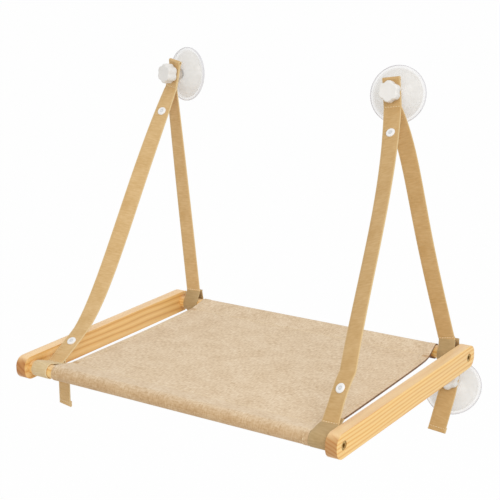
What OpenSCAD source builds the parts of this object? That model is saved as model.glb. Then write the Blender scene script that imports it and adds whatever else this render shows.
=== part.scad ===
// Cat window hammock: a pine frame with a linen sling, hung on webbing straps from
// four screw-on suction cups. Millimetres, +Z up. The origin lies on the window plane,
// midway between the rails and level with the dowels, and -Y points into the room.

/* [Frame] */
// Clear width between the two side rails
rail_gap = 450; // [400:5:560]
// Thickness of a side rail
rail_t = 15; // [12:1:20]
// Height of a side rail
rail_h = 30; // [26:1:40]
// Rail length past each dowel axis
rail_over = 16; // [14:1:18]
// Corner radius at the rail ends
rail_corner_r = 13; // [4:1:14]
// Diameter of the two dowels
dowel_d = 17; // [15:0.5:18]
// Distance between the front and rear dowel axes
dowel_spacing = 320; // [280:5:380]
// Distance from the window to the rear dowel axis
wall_gap = 26; // [25:1:30]

/* [Frame fasteners] */
// Thread diameter of the frame screws
screw_d = 6; // [5:0.5:6]
// Diameter of the screw heads
screw_head_d = 10.4; // [9:0.2:12]
// Height of the screw heads
screw_head_h = 5; // [3:0.5:6]
// Depth of the heads below the rail face
screw_sink = 0.6; // [0.2:0.1:1.5]
// Width of the hexagon socket in the heads
screw_key = 5; // [3:0.5:5]
// Screw length under the head
screw_len = 24; // [20:1:26]
// Outer diameter of the threaded inserts in the dowel ends
insert_d = 9; // [8:0.5:10]
// Length of the dowel inserts
insert_len = 18; // [16:1:24]

/* [Sling] */
// Width of the sling along the front dowel
sling_w = 384; // [340:1:392]
// Thickness of the sling cloth
sling_t = 0.9; // [0.6:0.1:1.4]
// Reach of the sewn dowel sleeves, from the dowel axis to the hem
sleeve_reach = 30; // [24:1:40]
// Height of the sleeve hems above the dowel axes
sleeve_rise = 3.4; // [1:0.2:6]
// Sag of the sling below its hems
sling_sag = 1; // [0.5:0.5:8]
// How far the right edge of the sheet flares out past its sleeve ends
right_flare = 7.5; // [0:0.5:9]

/* [Straps] */
// Width of the webbing
strap_w = 25; // [20:1:25]
// Thickness of the webbing
strap_t = 1.5; // [1:0.1:2]
// Distance from the left rail's inner face to the middle of its front loop
left_front_inset = 18.5; // [13:0.5:19.5]
// Gap from the right rail's inner face to the near edge of its front loop
right_front_inset = 0.5; // [0.5:0.5:3.5]
// Distance from the left rail's inner face to the middle of its rear loop
left_rear_inset = 17; // [14:0.5:20]
// Distance from the right rail's inner face to the middle of its rear loop
right_rear_inset = 19.5; // [14:0.5:20]
// Reach of a front loop, from the dowel axis to its cross stitch
loop_reach = 22; // [18:1:26]
// Reach of a rear loop, from the dowel axis to its cross stitch
rear_loop_reach = 19; // [17:1:24]
// Upward slope of the rear loops, measured from the window direction
rear_loop_rise = 75; // [60:1:90]
// Upward slope of the left front loop
left_loop_rise = 7; // [0:1:45]
// Upward slope of the right front loop
right_loop_rise = 38; // [30:1:50]
// Slope of the left strap from its front loop to the lower press stud
left_first_rise = 29; // [15:1:45]
// Slope of the right strap from its front loop to the lower press stud
right_first_rise = 55; // [45:1:60]
// Length of the left strap from the front dowel axis to its lower press stud
left_low_snap_at = 60; // [52:1:72]
// Length of the right strap from the front dowel axis to its lower press stud
right_low_snap_at = 63; // [52:1:75]
// Length of the left strap from the top stitch to the upper press stud
left_high_snap_at = 40; // [30:1:60]
// Length of the right strap from the top stitch to the upper press stud
right_high_snap_at = 37; // [30:1:60]
// Strap length that stays with the frame above the lower press stud
loop_tail = 22; // [14:1:30]
// Sag of the left front strap below a straight line, most near its foot
left_sag = 15; // [0:1:30]
// Sag of the right front strap below a straight line, most near its top
right_sag = 3; // [0:1:30]
// Sideways bow of the right front strap, most near its top
right_bow = 6; // [0:1:10]
// Sideways bow of the right rear strap, most near its top
right_rear_bow = 6; // [0:1:8]
// Inward twist of the front straps at their middle
leg_twist = 25; // [0:1:30]
// Inward turn of the right strap at its lower press stud
right_end_turn = 17; // [0:1:20]
// Distance from the left front loop's cross stitch up the strap to its free tail
tail_at = 17; // [14:1:20]
// Length of that tail
tail_drop = 71; // [50:1:90]
// Lean of that tail towards the room
tail_lean = 1.5; // [0:0.5:6]
// Turn of that tail about the vertical
tail_turn = 12; // [0:1:20]
// Distance from a suction cup's stud down to the stitch below its knob
stitch_drop = 20; // [18:1:26]
// Distance from a suction cup's stud up to the top of the folded strap
fold_rise = 20; // [18:1:26]
// Outer radius of the rolled fold above a knob
fold_r = 2.6; // [2.2:0.1:3.4]
// Strap length above and below the studs of the lower cups
patch_half = 16; // [14:1:18]

/* [Suction cups] */
// Rim diameter of a cup
cup_d = 76; // [66:1:78]
// Height of a cup from its rim to the top of its boss
cup_h = 24.3; // [23:0.1:26]
// Height of the dome's crown above the rim
dome_h = 18; // [15:0.5:19]
// Depth of the suction hollow
hollow_h = 7; // [4:0.5:8]
// Width of the flat sealing lip
lip_w = 5; // [3:0.5:7]
// Thickness of the lip
lip_t = 1.6; // [1.2:0.1:2]
// Boss diameter
boss_d = 19; // [16:1:22]
// Thread diameter of the moulded-in stud
stud_d = 6; // [5:0.5:6]
// Diameter of the stud's buried head
stud_head_d = 14; // [11:1:15]
// Thickness of the stud's buried head
stud_head_t = 2.5; // [2:0.5:3]
// Stud length above the boss
stud_reach = 15; // [13:1:16]

/* [Knobs] */
// Diameter over the lobes
knob_d = 28; // [24:1:28]
// Length of a knob along its stud
knob_h = 17; // [16:1:19]
// Number of lobes
knob_lobes = 6; // [5:1:8]
// Radius of the flutes between lobes
flute_r = 7; // [5:0.5:9]
// Depth of the flutes
flute_depth = 1.8; // [1:0.1:2.4]
// Bevel at the front edge
knob_bevel = 1.6; // [0.8:0.2:2.4]
// Outer diameter of the brass insert in a knob
knob_insert_d = 10; // [9:0.5:11]
// Length of that insert
knob_insert_len = 10; // [8:1:11]

/* [Press studs] */
// Diameter of a press stud's cap
snap_d = 12.5; // [10:0.5:14]
// Thickness of the cap
snap_t = 1.8; // [1.2:0.1:2.4]
// Diameter of the dish in the cap
snap_dish_d = 6.5; // [4:0.5:7]
// Diameter of the rivet through the webbing
snap_post_d = 4; // [3:0.5:5]
// Thickness of the socket at the back
snap_back_t = 2; // [1.5:0.1:2.5]

/* [How the cups hang] */
// Sideways place of the left upper cup
left_high_x = -227; // [-240:1:-190]
// Height of the left upper cup above the dowels
left_high_z = 340; // [320:1:380]
// Outward turn of the left upper cup
left_high_turn = -14; // [-20:1:0]
// Upward tilt of the left upper cup
left_high_tilt = 7; // [1:1:16]
// Sideways place of the right upper cup
right_high_x = 124; // [110:1:215]
// Height of the right upper cup above the dowels
right_high_z = 337; // [320:1:380]
// Outward turn of the right upper cup
right_high_turn = 9; // [0:1:20]
// Upward tilt of the right upper cup
right_high_tilt = 14; // [1:1:16]
// Distance of each lower cup's middle inside the inner face of its rail
low_x = 12; // [11:1:20]
// Drop of the lower cups below the dowels
low_drop = 38; // [38:1:48]
// Outward turn of the lower cups
low_turn = 10; // [0:1:12]
// Upward tilt of the lower cups as they dangle
low_tilt = 40; // [20:1:42]
// Forward reach of a lower strap's tail from its stud
low_tail_reach = 32; // [20:1:40]
// Drop of a lower strap's tail from its stud
low_tail_drop = 59; // [45:1:70]
// How far a lower strap's tail drifts towards the middle
low_tail_drift = 2; // [0:0.5:6]

/* [Clearances] */
// Gap between a dowel and the cloth or webbing round it
loop_gap = 0.35; // [0.2:0.05:0.6]
// Gap between a clamped strap and the boss or knob beside it
seat_gap = 0.2; // [0.1:0.05:0.3]
// Radial gap at a thread or a turning insert
thread_gap = 0.05; // [0.03:0.01:0.08]
// Gap between the sling and the right strap loops beside it
sling_gap = 0.5; // [0.3:0.1:1]
// Gap between two stretches of one strap
stretch_gap = 0.9; // [0.6:0.1:0.9]
// Radial gap round a screw, stud or rivet that passes through a hole
pass_gap = 0.3; // [0.1:0.05:0.5]

/* [Hidden] */
$fn = 64;

LEFT = -1;
RIGHT = 1;

pine = "#E8BE7C";
linen = "#DCC3A0";
webbing = "#C9A46B";
vinyl = "#E8E6E2";
white_plastic = "#E4E1DE";
brass = "#8C6F35";
steel = "#B8BABD";

rear_y = -wall_gap;
front_y = rear_y - dowel_spacing;
rail_x = rail_gap / 2;
loop_r = dowel_d / 2 + loop_gap;
fold_stack = 2 * strap_t;
loop_bite = 2.5;
x_axis = [1, 0, 0];
snap_border = 2;
snap_flat = snap_d / 2 + snap_border;
insert_sink = 0.5;
nudge = 0.01;
loop_steps = 24;
sag_skew = 3;
bow_skew = 2;
rear_bow_skew = 4;
full_turn = 360;
socket_sides = 6;

// A cup's place: sideways, height, outward turn, upward tilt and the strap thickness under its knob
left_high = [left_high_x, left_high_z, left_high_turn, left_high_tilt, fold_stack];
right_high = [right_high_x, right_high_z, right_high_turn, right_high_tilt, fold_stack];
left_low = [low_x - rail_x, -low_drop, -low_turn, low_tilt, strap_t];
right_low = [rail_x - low_x, -low_drop, low_turn, low_tilt, strap_t];

function unit(v) = v / norm(v);
function strap_height(cup) = cup_h + seat_gap + cup[4] / 2;
function pivot(cup) = [cup[0], -strap_height(cup), cup[1]];
function cup_axis(cup) = [sin(cup[2]) * cos(cup[3]), -cos(cup[2]) * cos(cup[3]), sin(cup[3])];
function cup_across(cup) = [cos(cup[2]), sin(cup[2]), 0];
function cup_up(cup) = [-sin(cup[2]) * sin(cup[3]), cos(cup[2]) * sin(cup[3]), cos(cup[3])];
function high_cup(side) = side == LEFT ? left_high : right_high;
function low_cup(side) = side == LEFT ? left_low : right_low;

// Strap points. The layer is -1 for the rear half of a folded strap and 1 for the front half.
function stitch_end(side, layer) =
    let (cup = high_cup(side))
    pivot(cup) - (stitch_drop + stretch_gap) * cup_up(cup) + layer * strap_t / 2 * cup_axis(cup);
function front_x(side) = side * (rail_x - (side == LEFT ? left_front_inset : right_front_inset + strap_w / 2));
function rear_x(side) = side * (rail_x - (side == LEFT ? left_rear_inset : right_rear_inset));
function climb(length, rise) = length * [0, cos(rise), sin(rise)];
// A bow of height 1 between 0 and 1, highest near 1
function skew_scale(power) = pow(power + 1, power + 1) / pow(power, power);
function skewed(near, power) = skew_scale(power) * pow(near, power) * (1 - near);
function front_rise(side) = side == LEFT ? left_loop_rise : right_loop_rise;
function first_rise(side) = side == LEFT ? left_first_rise : right_first_rise;
function front_apex(side) = [front_x(side), front_y, 0] + climb(loop_reach, front_rise(side));
function rear_apex(side) = [rear_x(side), rear_y, 0] + climb(rear_loop_reach, rear_loop_rise);
function low_snap_at(side) = side == LEFT ? left_low_snap_at : right_low_snap_at;
function low_snap_point(side) =
    front_apex(side) + climb(low_snap_at(side) - loop_reach, first_rise(side));
// Slope of the webbing just above the lower press stud, where the sag flattens it
function rise_above(side) =
    let (
        span = stitch_end(side, 1) - low_snap_point(side),
        flatter = side == LEFT ? skew_scale(sag_skew) * left_sag : 0
    )
    atan2(span[2] - flatter, span[1]);
function low_snap_rise(side) = (first_rise(side) + rise_above(side)) / 2;
function low_snap_run(side) = climb(1, low_snap_rise(side));
function loop_top_run(side) = climb(1, rise_above(side));
function loop_top(side) = low_snap_point(side) + loop_tail * loop_top_run(side);

// A front leg from its top stitch (at 0) to the end of its loop (at 1)
function leg_end(side) = loop_top(side) + stretch_gap * loop_top_run(side);
function leg_length(side) = norm(leg_end(side) - stitch_end(side, 1));
function leg_bow(side, at) =
    side == LEFT ? skewed(at, sag_skew) * [0, 0, -left_sag]
        : skewed(1 - at, bow_skew) * [right_bow, 0, -right_sag];
function leg_point(side, at) =
    (1 - at) * stitch_end(side, 1) + at * leg_end(side) + leg_bow(side, at);
function leg_hint(side, at) =
    let (
        ease = 5,
        start = pow(1 - at, ease),
        end = pow(at, ease),
        end_turn = side == LEFT ? 0 : right_end_turn,
        inward = leg_twist * (1 - start) * (1 - end) + end_turn * end,
        turn = start * high_cup(side)[2] - side * inward
    )
    [cos(turn), sin(turn), 0];
function high_snap_at(side) = side == LEFT ? left_high_snap_at : right_high_snap_at;
function high_snap_share(side) = high_snap_at(side) / leg_length(side);
function high_snap_flat(side, way) =
    leg_point(side, high_snap_share(side) + way * snap_flat / leg_length(side));
function high_snap_point(side) = (high_snap_flat(side, -1) + high_snap_flat(side, 1)) / 2;
function high_snap_run(side) = unit(high_snap_flat(side, 1) - high_snap_flat(side, -1));

// A ribbon runs along a path from top to bottom. Each station's width follows its hint.
// A station faces along the path, unless it has a run of its own.
function heading(path, i) = unit(path[min(i + 1, len(path) - 1)] - path[max(i - 1, 0)]);
function across(hint, run) = unit(hint - (hint * run) * run);
function station(p, run, hint) =
    let (a = across(hint, run) * strap_w / 2, b = cross(run, across(hint, run)) * strap_t / 2)
    [p + a + b, p - a + b, p - a - b, p + a - b];

module ribbon(path, hints, runs = []) {
    stations = len(path);
    corners = [
        for (i = [0 : stations - 1])
            each station(path[i], is_undef(runs[i]) ? heading(path, i) : runs[i], hints[i])
    ];
    // The front and back faces split along parallel diagonals, so that a twist keeps its thickness
    sides = [
        for (i = [0 : stations - 2], j = [0 : 3])
            let (a = 4 * i + j, b = 4 * i + (j + 1) % 4)
            each j < 2 ? [[b + 4, b, a], [a + 4, b + 4, a]] : [[a + 4, b, a], [a + 4, b + 4, b]]
    ];
    last = 4 * (stations - 1);
    ends = [[0, 1, 2], [0, 2, 3], [last + 2, last + 1, last], [last + 3, last + 2, last]];
    polyhedron(corners, concat(sides, ends));
}

// Local +Z leaves the webbing's front face, and local -Y runs down the strap
module on_strap(p, run, hint) {
    x = across(hint, run);
    z = cross(run, x);
    y = cross(z, x);
    multmatrix([[x[0], y[0], z[0], p[0]], [x[1], y[1], z[1], p[1]], [x[2], y[2], z[2], p[2]]]) children();
}

// Local +Z runs from a cup's rim along its stud, and local +Y is up along the strap
module at_cup(cup) {
    translate(pivot(cup)) rotate([90 - cup[3], 0, cup[2]])
        translate([0, 0, -strap_height(cup)]) children();
}

// Extrudes a side view, drawn as [y, z], along X
module along_x(x, w) {
    rotate([90, 0, 90]) translate([0, 0, x]) linear_extrude(w) children();
}

// Outline of a loop with flat facets round a dowel, drawn out to a point
function arc(r, from, to) = [
    for (i = [0 : loop_steps])
        let (a = from + (to - from) * i / loop_steps)
        r * [cos(a), sin(a)]
];
function drop(r, reach, rise) =
    let (half = acos(r / reach))
    concat(arc(r, rise + half, rise + full_turn - half), [reach * [cos(rise), sin(rise)]]);
// Outside of a loop whose two layers run on together past the point where they are one thickness apart
function open_drop(r, t, reach, rise) =
    let (
        half = acos(r / reach),
        meet = (reach - t / 2 * tan(half)) * [cos(rise), sin(rise)],
        upward = t / 2 * [-sin(rise), cos(rise)]
    )
    concat([meet + upward], arc(r, rise + half, rise + full_turn - half), [meet - upward]);
function hollow_reach(r, t, reach) = reach * r / (r + t);

module sewn_loop(r, t, reach, rise) {
    difference() {
        polygon(drop(r + t, reach, rise));
        polygon(drop(r, hollow_reach(r, t, reach), rise));
    }
}

// Frame

module rail(side) {
    length = dowel_spacing + 2 * rail_over;
    r = min(rail_corner_r, rail_h / 2 - 1);
    inner = side == LEFT ? -rail_x - rail_t : rail_x;
    head_depth = screw_sink + screw_head_h;
    color(pine) difference() {
        along_x(inner, rail_t) translate([front_y - rail_over, -rail_h / 2]) {
            translate([r, 0]) square([length - 2 * r, rail_h]);
            translate([0, r]) square([length, rail_h - 2 * r]);
            for (y = [r, length - r], z = [r, rail_h - r]) translate([y, z]) circle(r);
        }
        for (y = [front_y, rear_y]) frame_screw_place(side, y) {
            translate([0, 0, -head_depth])
                cylinder(d = screw_head_d + 2 * pass_gap, h = head_depth + nudge);
            translate([0, 0, -rail_t - nudge]) cylinder(d = screw_d + 2 * pass_gap, h = rail_t);
        }
    }
}

// Local +Z points out of the rail's outer face
module frame_screw_place(side, y) {
    translate([side * (rail_x + rail_t), y, 0]) rotate([0, side * 90, 0]) children();
}

module frame_screw() {
    translate([0, 0, -screw_sink - screw_head_h]) difference() {
        union() {
            cylinder(d = screw_head_d, h = screw_head_h);
            translate([0, 0, -screw_len]) cylinder(d = screw_d, h = screw_len);
        }
        translate([0, 0, screw_head_h / 2])
            cylinder(d = screw_key / cos(full_turn / socket_sides / 2), h = screw_head_h, $fn = socket_sides);
    }
}

module frame_screws() {
    color(brass) for (side = [LEFT, RIGHT], y = [front_y, rear_y])
        frame_screw_place(side, y) frame_screw();
}

module dowel(y) {
    bore_d = insert_d + 2 * thread_gap;
    color(pine) translate([-rail_x, y, 0]) rotate([0, 90, 0]) difference() {
        cylinder(d = dowel_d, h = rail_gap);
        translate([0, 0, -nudge]) cylinder(d = bore_d, h = insert_len + nudge);
        translate([0, 0, rail_gap - insert_len]) cylinder(d = bore_d, h = insert_len + nudge);
    }
}

module dowel_inserts() {
    color(brass) for (side = [LEFT, RIGHT], y = [front_y, rear_y])
        frame_screw_place(side, y) translate([0, 0, -rail_t - insert_len]) difference() {
            cylinder(d = insert_d, h = insert_len);
            translate([0, 0, -nudge]) cylinder(d = screw_d + 2 * thread_gap, h = insert_len + 2 * nudge);
        }
}

// Sling: a sheet with a sewn sleeve round each dowel

module sling() {
    r = loop_r;
    steps = 16;
    rise = asin(sleeve_rise / sleeve_reach);
    hem = sleeve_reach * [cos(rise), sin(rise)];
    span = dowel_spacing - 2 * hem[0];
    middle = [
        for (i = [1 : steps - 1])
            let (s = i / steps)
            [front_y + hem[0] + s * span, hem[1] - 4 * sling_sag * s * (1 - s)]
    ];
    half_cloth = [0, sling_t / 2];
    outside = open_drop(r + sling_t, sling_t, sleeve_reach, rise);
    inside = drop(r, hollow_reach(r, sling_t, sleeve_reach), rise);
    front_sleeve = [for (p = outside) [front_y + p[0], p[1]]];
    rear_sleeve = [for (i = [len(outside) - 1 : -1 : 0]) [rear_y - outside[i][0], outside[i][1]]];
    under = [for (p = middle) p - half_cloth];
    over = [for (i = [len(middle) - 1 : -1 : 0]) middle[i] + half_cloth];
    color(linen) intersection() {
        along_x(-rail_x, rail_gap) difference() {
            polygon(concat(front_sleeve, under, rear_sleeve, over));
            polygon([for (p = inside) [front_y + p[0], p[1]]]);
            polygon([for (p = inside) [rear_y - p[0], p[1]]]);
        }
        translate([0, 0, -dowel_d]) linear_extrude(2 * dowel_d) sling_plan();
    }
}

// Plan of the sling. Its right sleeve ends stop at the strap loops.
// The sheet between them flares out.
module sling_plan() {
    steps = 20;
    ease = 6;
    past = 2 * dowel_d;
    front_end = front_x(RIGHT) - strap_w / 2 - sling_gap;
    rear_end = rear_x(RIGHT) - strap_w / 2 - sling_gap;
    left_end = front_end - sling_w;
    from = front_y + loop_reach * cos(right_loop_rise) + stretch_gap;
    to = rear_y - rear_loop_reach - stretch_gap;
    flare = [
        for (i = [0 : steps])
            let (s = i / steps)
            [
                front_end + s * (rear_end - front_end) + right_flare * (1 - pow(2 * s - 1, ease)),
                from + s * (to - from)
            ]
    ];
    polygon(concat(
        [[left_end, front_y - past], [front_end, front_y - past]],
        flare,
        [[rear_end, rear_y + past], [left_end, rear_y + past]]
    ));
}

// Straps

// Rear stretch of a strap and its loop round the rear dowel
module rear_leg(side) {
    cup = high_cup(side);
    top = stitch_end(side, -1);
    apex = rear_apex(side);
    loop_run = climb(1, rear_loop_rise);
    straighten = 12;
    shares = [0.1, 0.2, 0.4];
    bow = side == LEFT ? 0 : right_rear_bow;
    color(webbing) {
        ribbon(
            concat(
                [top],
                [for (at = shares) top + at * (apex - top) + bow * skewed(1 - at, rear_bow_skew) * x_axis],
                [apex + straighten * unit(top - apex), apex - loop_bite * loop_run]
            ),
            concat(
                [cup_across(cup)],
                [for (at = shares) (1 - at) * cup_across(cup) + at * x_axis],
                [x_axis, x_axis]
            ),
            [-cup_up(cup), undef, undef, undef, undef, -loop_run]
        );
        along_x(rear_x(side) - strap_w / 2, strap_w) translate([rear_y, 0])
            sewn_loop(loop_r, strap_t, rear_loop_reach, rear_loop_rise);
    }
}

// Long front stretch of a strap, from the top stitch to just above the lower press stud
module front_leg(side) {
    steps = 6;
    share = high_snap_share(side);
    flat = snap_flat / leg_length(side);
    clear = share + 2 * flat;
    below = [for (i = [0 : steps]) clear + (1 - clear) * i / steps];
    run = high_snap_run(side);
    hint = leg_hint(side, share);
    color(webbing) difference() {
        ribbon(
            [for (at = concat([0, share - flat, share + flat], below)) leg_point(side, at)],
            concat([leg_hint(side, 0), hint, hint], [for (at = below) leg_hint(side, at)]),
            concat(
                [-cup_up(high_cup(side)), run, run],
                [for (i = [1 : steps]) undef],
                [-loop_top_run(side)]
            )
        );
        on_strap(high_snap_point(side), run, hint) snap_hole();
    }
}

// Loop round the front dowel and the webbing up past the lower press stud
module front_loop(side) {
    snap = low_snap_point(side);
    run = low_snap_run(side);
    hint = leg_hint(side, 1);
    apex = front_apex(side);
    rise = front_rise(side);
    straighten = 9;
    color(webbing) difference() {
        union() {
            along_x(front_x(side) - strap_w / 2, strap_w) translate([front_y, 0])
                sewn_loop(loop_r, strap_t, loop_reach, rise);
            ribbon(
                [
                    loop_top(side),
                    snap + snap_flat * run,
                    snap - snap_flat * run,
                    apex + climb(straighten, first_rise(side)),
                    apex - climb(loop_bite, rise)
                ],
                [hint, hint, hint, (hint + x_axis) / 2, x_axis],
                [-loop_top_run(side), -run, -run, undef, -climb(1, rise)]
            );
        }
        on_strap(snap, -run, hint) snap_hole();
    }
}

// Free hemmed end of the left strap, which hangs behind the front dowel
module left_front_tail() {
    hint = [cos(tail_turn), -sin(tail_turn), 0];
    turned_by = 24;
    seat = front_apex(LEFT) + climb(tail_at, left_first_rise);
    start_drop = (strap_t / 2 + seat_gap) / cos(left_first_rise) + strap_t / 2 * tan(left_first_rise);
    start = seat - [0, 0, start_drop];
    color(webbing) ribbon(
        [start, start - [0, 0, turned_by], start - [0, tail_lean, tail_drop]],
        [x_axis, hint, hint]
    );
}

// Folded top of a strap, clamped between a cup's boss and its knob
module top_fold(side) {
    cup = high_cup(side);
    base = cup_h + seat_gap;
    roll_reach = 3 * fold_r;
    color(webbing) at_cup(cup) difference() {
        rotate([0, -90, 0]) translate([0, 0, -strap_w / 2]) linear_extrude(strap_w) {
            translate([base, -stitch_drop]) square([fold_stack, stitch_drop + fold_rise - 2 * fold_r]);
            translate([base + fold_stack / 2, fold_rise - fold_r])
                sewn_loop(fold_r - strap_t, strap_t, roll_reach, -90);
        }
        cylinder(d = stud_d + 2 * pass_gap, h = cup_h + stud_reach);
    }
}

// Lower end of a strap: neck below the rear loop, patch under a lower cup's knob and free tail
module lower_strap(side) {
    cup = low_cup(side);
    across_cup = cup_across(cup);
    patch_top = pivot(cup) + patch_half * cup_up(cup);
    patch_end = pivot(cup) - patch_half * cup_up(cup);
    // The neck ends level under the dowel, straight above the cup's stud, and so swings clear of the loop
    neck_rise = unit([0, rear_y, 0] - [0, pivot(cup)[1], pivot(cup)[2]]);
    neck_top = [rear_x(side), rear_y, 0] - (loop_r + strap_t + stretch_gap) * neck_rise;
    bend_r = 3;
    neck_bend = patch_top + bend_r * (cup_up(cup) + cup_axis(cup));
    hem = pivot(cup) + [-side * low_tail_drift, -low_tail_reach, -low_tail_drop];
    color(webbing) difference() {
        ribbon(
            [neck_top, neck_bend, patch_top, patch_end, hem],
            [x_axis, across_cup, across_cup, across_cup, x_axis],
            [-neck_rise, undef, -cup_up(cup), -cup_up(cup), undef]
        );
        at_cup(cup) cylinder(d = stud_d + 2 * pass_gap, h = cup_h + stud_reach);
    }
}

// Press studs

module snap_hole() {
    cylinder(d = snap_post_d + 2 * pass_gap, h = 4 * strap_t, center = true);
}

// Dished cap in front of the webbing, rivet through it and socket behind it
module press_stud() {
    cap_r = snap_d / 2;
    socket_r = 0.8 * cap_r;
    face = strap_t / 2;
    dish = snap_t / 2;
    color(white_plastic) rotate_extrude() polygon([
        [0, -face - snap_back_t],
        [socket_r, -face - snap_back_t],
        [socket_r, -face],
        [snap_post_d / 2, -face],
        [snap_post_d / 2, face],
        [cap_r, face],
        [cap_r, face + snap_t / 2],
        [cap_r - snap_t / 2, face + snap_t],
        [snap_dish_d / 2, face + snap_t],
        [snap_dish_d / 2 - dish / 2, face + snap_t - dish],
        [0, face + snap_t - dish]
    ]);
}

module high_snap(side) {
    on_strap(high_snap_point(side), high_snap_run(side), leg_hint(side, high_snap_share(side)))
        press_stud();
}

module low_snap(side) {
    on_strap(low_snap_point(side), -low_snap_run(side), leg_hint(side, 1)) press_stud();
}

// Suction cups

// Height of a spherical cap of a given rim radius and rise, at radius r
function cap_height(r, rim, rise) =
    let (ball = (rim * rim + rise * rise) / (2 * rise))
    sqrt(ball * ball - r * r) - (ball - rise);

module cup_solid() {
    steps = 14;
    rim = cup_d / 2;
    dome_rim = rim - lip_w / 2;
    boss_r = boss_d / 2;
    hollow_rim = rim - lip_w;
    dome = [
        for (i = [0 : steps])
            let (r = dome_rim + (boss_r - dome_rim) * i / steps)
            [r, lip_t + cap_height(r, dome_rim, dome_h - lip_t)]
    ];
    hollow = [
        for (i = [0 : steps])
            let (r = hollow_rim * i / steps)
            [r, cap_height(r, hollow_rim, hollow_h)]
    ];
    difference() {
        rotate_extrude() polygon(concat(
            [[rim, 0], [rim, lip_t]], dome, [[boss_r, cup_h], [0, cup_h]], hollow
        ));
        stud_solid(thread_gap);
    }
}

module stud_solid(gap) {
    head_z = cup_h - stud_head_t - boss_d / 2;
    translate([0, 0, head_z - gap]) cylinder(d = stud_head_d + 2 * gap, h = stud_head_t + 2 * gap);
    translate([0, 0, head_z])
        cylinder(d = stud_d - 2 * thread_gap + 2 * gap, h = cup_h + stud_reach - head_z);
}

module cup(place) {
    color(vinyl) at_cup(place) cup_solid();
}

module stud(place) {
    color(steel) at_cup(place) stud_solid(0);
}

// Knobs

// Lifts a knob's parts onto the strap that its cup clamps
module on_knob_seat(place) {
    at_cup(place) translate([0, 0, cup_h + place[4] + 2 * seat_gap]) children();
}

module knob(place) {
    outer = knob_d / 2;
    pocket = knob_insert_len + 2 * insert_sink;
    tip_room = 1;
    stud_room = stud_reach + tip_room;
    color(white_plastic) on_knob_seat(place) difference() {
        intersection() {
            linear_extrude(knob_h) difference() {
                circle(outer);
                for (i = [0 : knob_lobes - 1])
                    rotate(i * full_turn / knob_lobes)
                        translate([outer + flute_r - flute_depth, 0]) circle(flute_r);
            }
            rotate_extrude() polygon([
                [0, 0],
                [outer - knob_bevel, 0],
                [outer, knob_bevel],
                [outer, knob_h - knob_bevel],
                [outer - knob_bevel, knob_h],
                [0, knob_h]
            ]);
        }
        translate([0, 0, -nudge]) cylinder(d = knob_insert_d + 2 * thread_gap, h = pocket + nudge);
        cylinder(d = stud_d + 2 * pass_gap, h = stud_room);
    }
}

module knob_insert(place) {
    color(brass) on_knob_seat(place) translate([0, 0, insert_sink]) difference() {
        cylinder(d = knob_insert_d, h = knob_insert_len);
        translate([0, 0, -nudge]) cylinder(d = stud_d, h = knob_insert_len + 2 * nudge);
    }
}

rail(LEFT);  // left_rail
rail(RIGHT);  // right_rail
dowel(front_y);  // front_dowel
dowel(rear_y);  // rear_dowel
frame_screws();
dowel_inserts();
sling();
rear_leg(LEFT);  // left_rear_leg
rear_leg(RIGHT);  // right_rear_leg
front_leg(LEFT);  // left_front_leg
front_leg(RIGHT);  // right_front_leg
front_loop(LEFT);  // left_front_loop
front_loop(RIGHT);  // right_front_loop
left_front_tail();
top_fold(LEFT);  // left_top_fold
top_fold(RIGHT);  // right_top_fold
lower_strap(LEFT);  // left_lower_strap
lower_strap(RIGHT);  // right_lower_strap
high_snap(LEFT);  // left_high_snap
high_snap(RIGHT);  // right_high_snap
low_snap(LEFT);  // left_low_snap
low_snap(RIGHT);  // right_low_snap
cup(left_high);  // left_upper_cup
cup(right_high);  // right_upper_cup
cup(left_low);  // left_lower_cup
cup(right_low);  // right_lower_cup
stud(left_high);  // left_upper_stud
stud(right_high);  // right_upper_stud
stud(left_low);  // left_lower_stud
stud(right_low);  // right_lower_stud
knob(left_high);  // left_upper_knob
knob(right_high);  // right_upper_knob
knob(left_low);  // left_lower_knob
knob(right_low);  // right_lower_knob
knob_insert(left_high);  // left_upper_knob_insert
knob_insert(right_high);  // right_upper_knob_insert
knob_insert(left_low);  // left_lower_knob_insert
knob_insert(right_low);  // right_lower_knob_insert
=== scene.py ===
"""Cat window hammock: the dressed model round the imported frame. Sizes are in millimetres."""
import logging
import math
from dataclasses import dataclass
from enum import Enum
from typing import Callable, ClassVar, Sequence

import bmesh
import bpy
from mathutils import Matrix, Vector, noise


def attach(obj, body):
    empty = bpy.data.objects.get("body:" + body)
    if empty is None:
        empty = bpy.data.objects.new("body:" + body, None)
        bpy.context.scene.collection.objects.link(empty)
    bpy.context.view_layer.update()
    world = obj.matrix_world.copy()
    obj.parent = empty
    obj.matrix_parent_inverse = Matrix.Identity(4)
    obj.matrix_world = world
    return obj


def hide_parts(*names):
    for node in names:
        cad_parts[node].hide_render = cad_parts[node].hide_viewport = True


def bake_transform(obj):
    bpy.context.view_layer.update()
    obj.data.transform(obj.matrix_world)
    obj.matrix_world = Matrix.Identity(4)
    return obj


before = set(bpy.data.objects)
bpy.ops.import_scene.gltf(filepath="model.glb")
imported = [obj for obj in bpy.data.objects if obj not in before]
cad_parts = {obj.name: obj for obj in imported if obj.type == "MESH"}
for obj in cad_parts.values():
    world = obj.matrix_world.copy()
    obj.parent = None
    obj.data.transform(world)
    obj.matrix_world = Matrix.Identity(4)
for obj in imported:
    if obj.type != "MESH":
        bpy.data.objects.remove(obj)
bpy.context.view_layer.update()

LOG = logging.getLogger("hammock")
MM = 0.001
WEAVE_UNIT = 100.0
X_AXIS = Vector((1, 0, 0))
UP = Vector((0, 0, 1))


class Side(Enum):
    """The two sides of the hammock, as seen from the room."""

    LEFT = -1
    RIGHT = 1

    @property
    def label(self) -> str:
        """The side's name as piece names use it."""
        return self.name.lower()


class Grain(Enum):
    """The axis that a timber's grain runs along."""

    X = 0
    Y = 1


# Materials


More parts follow.
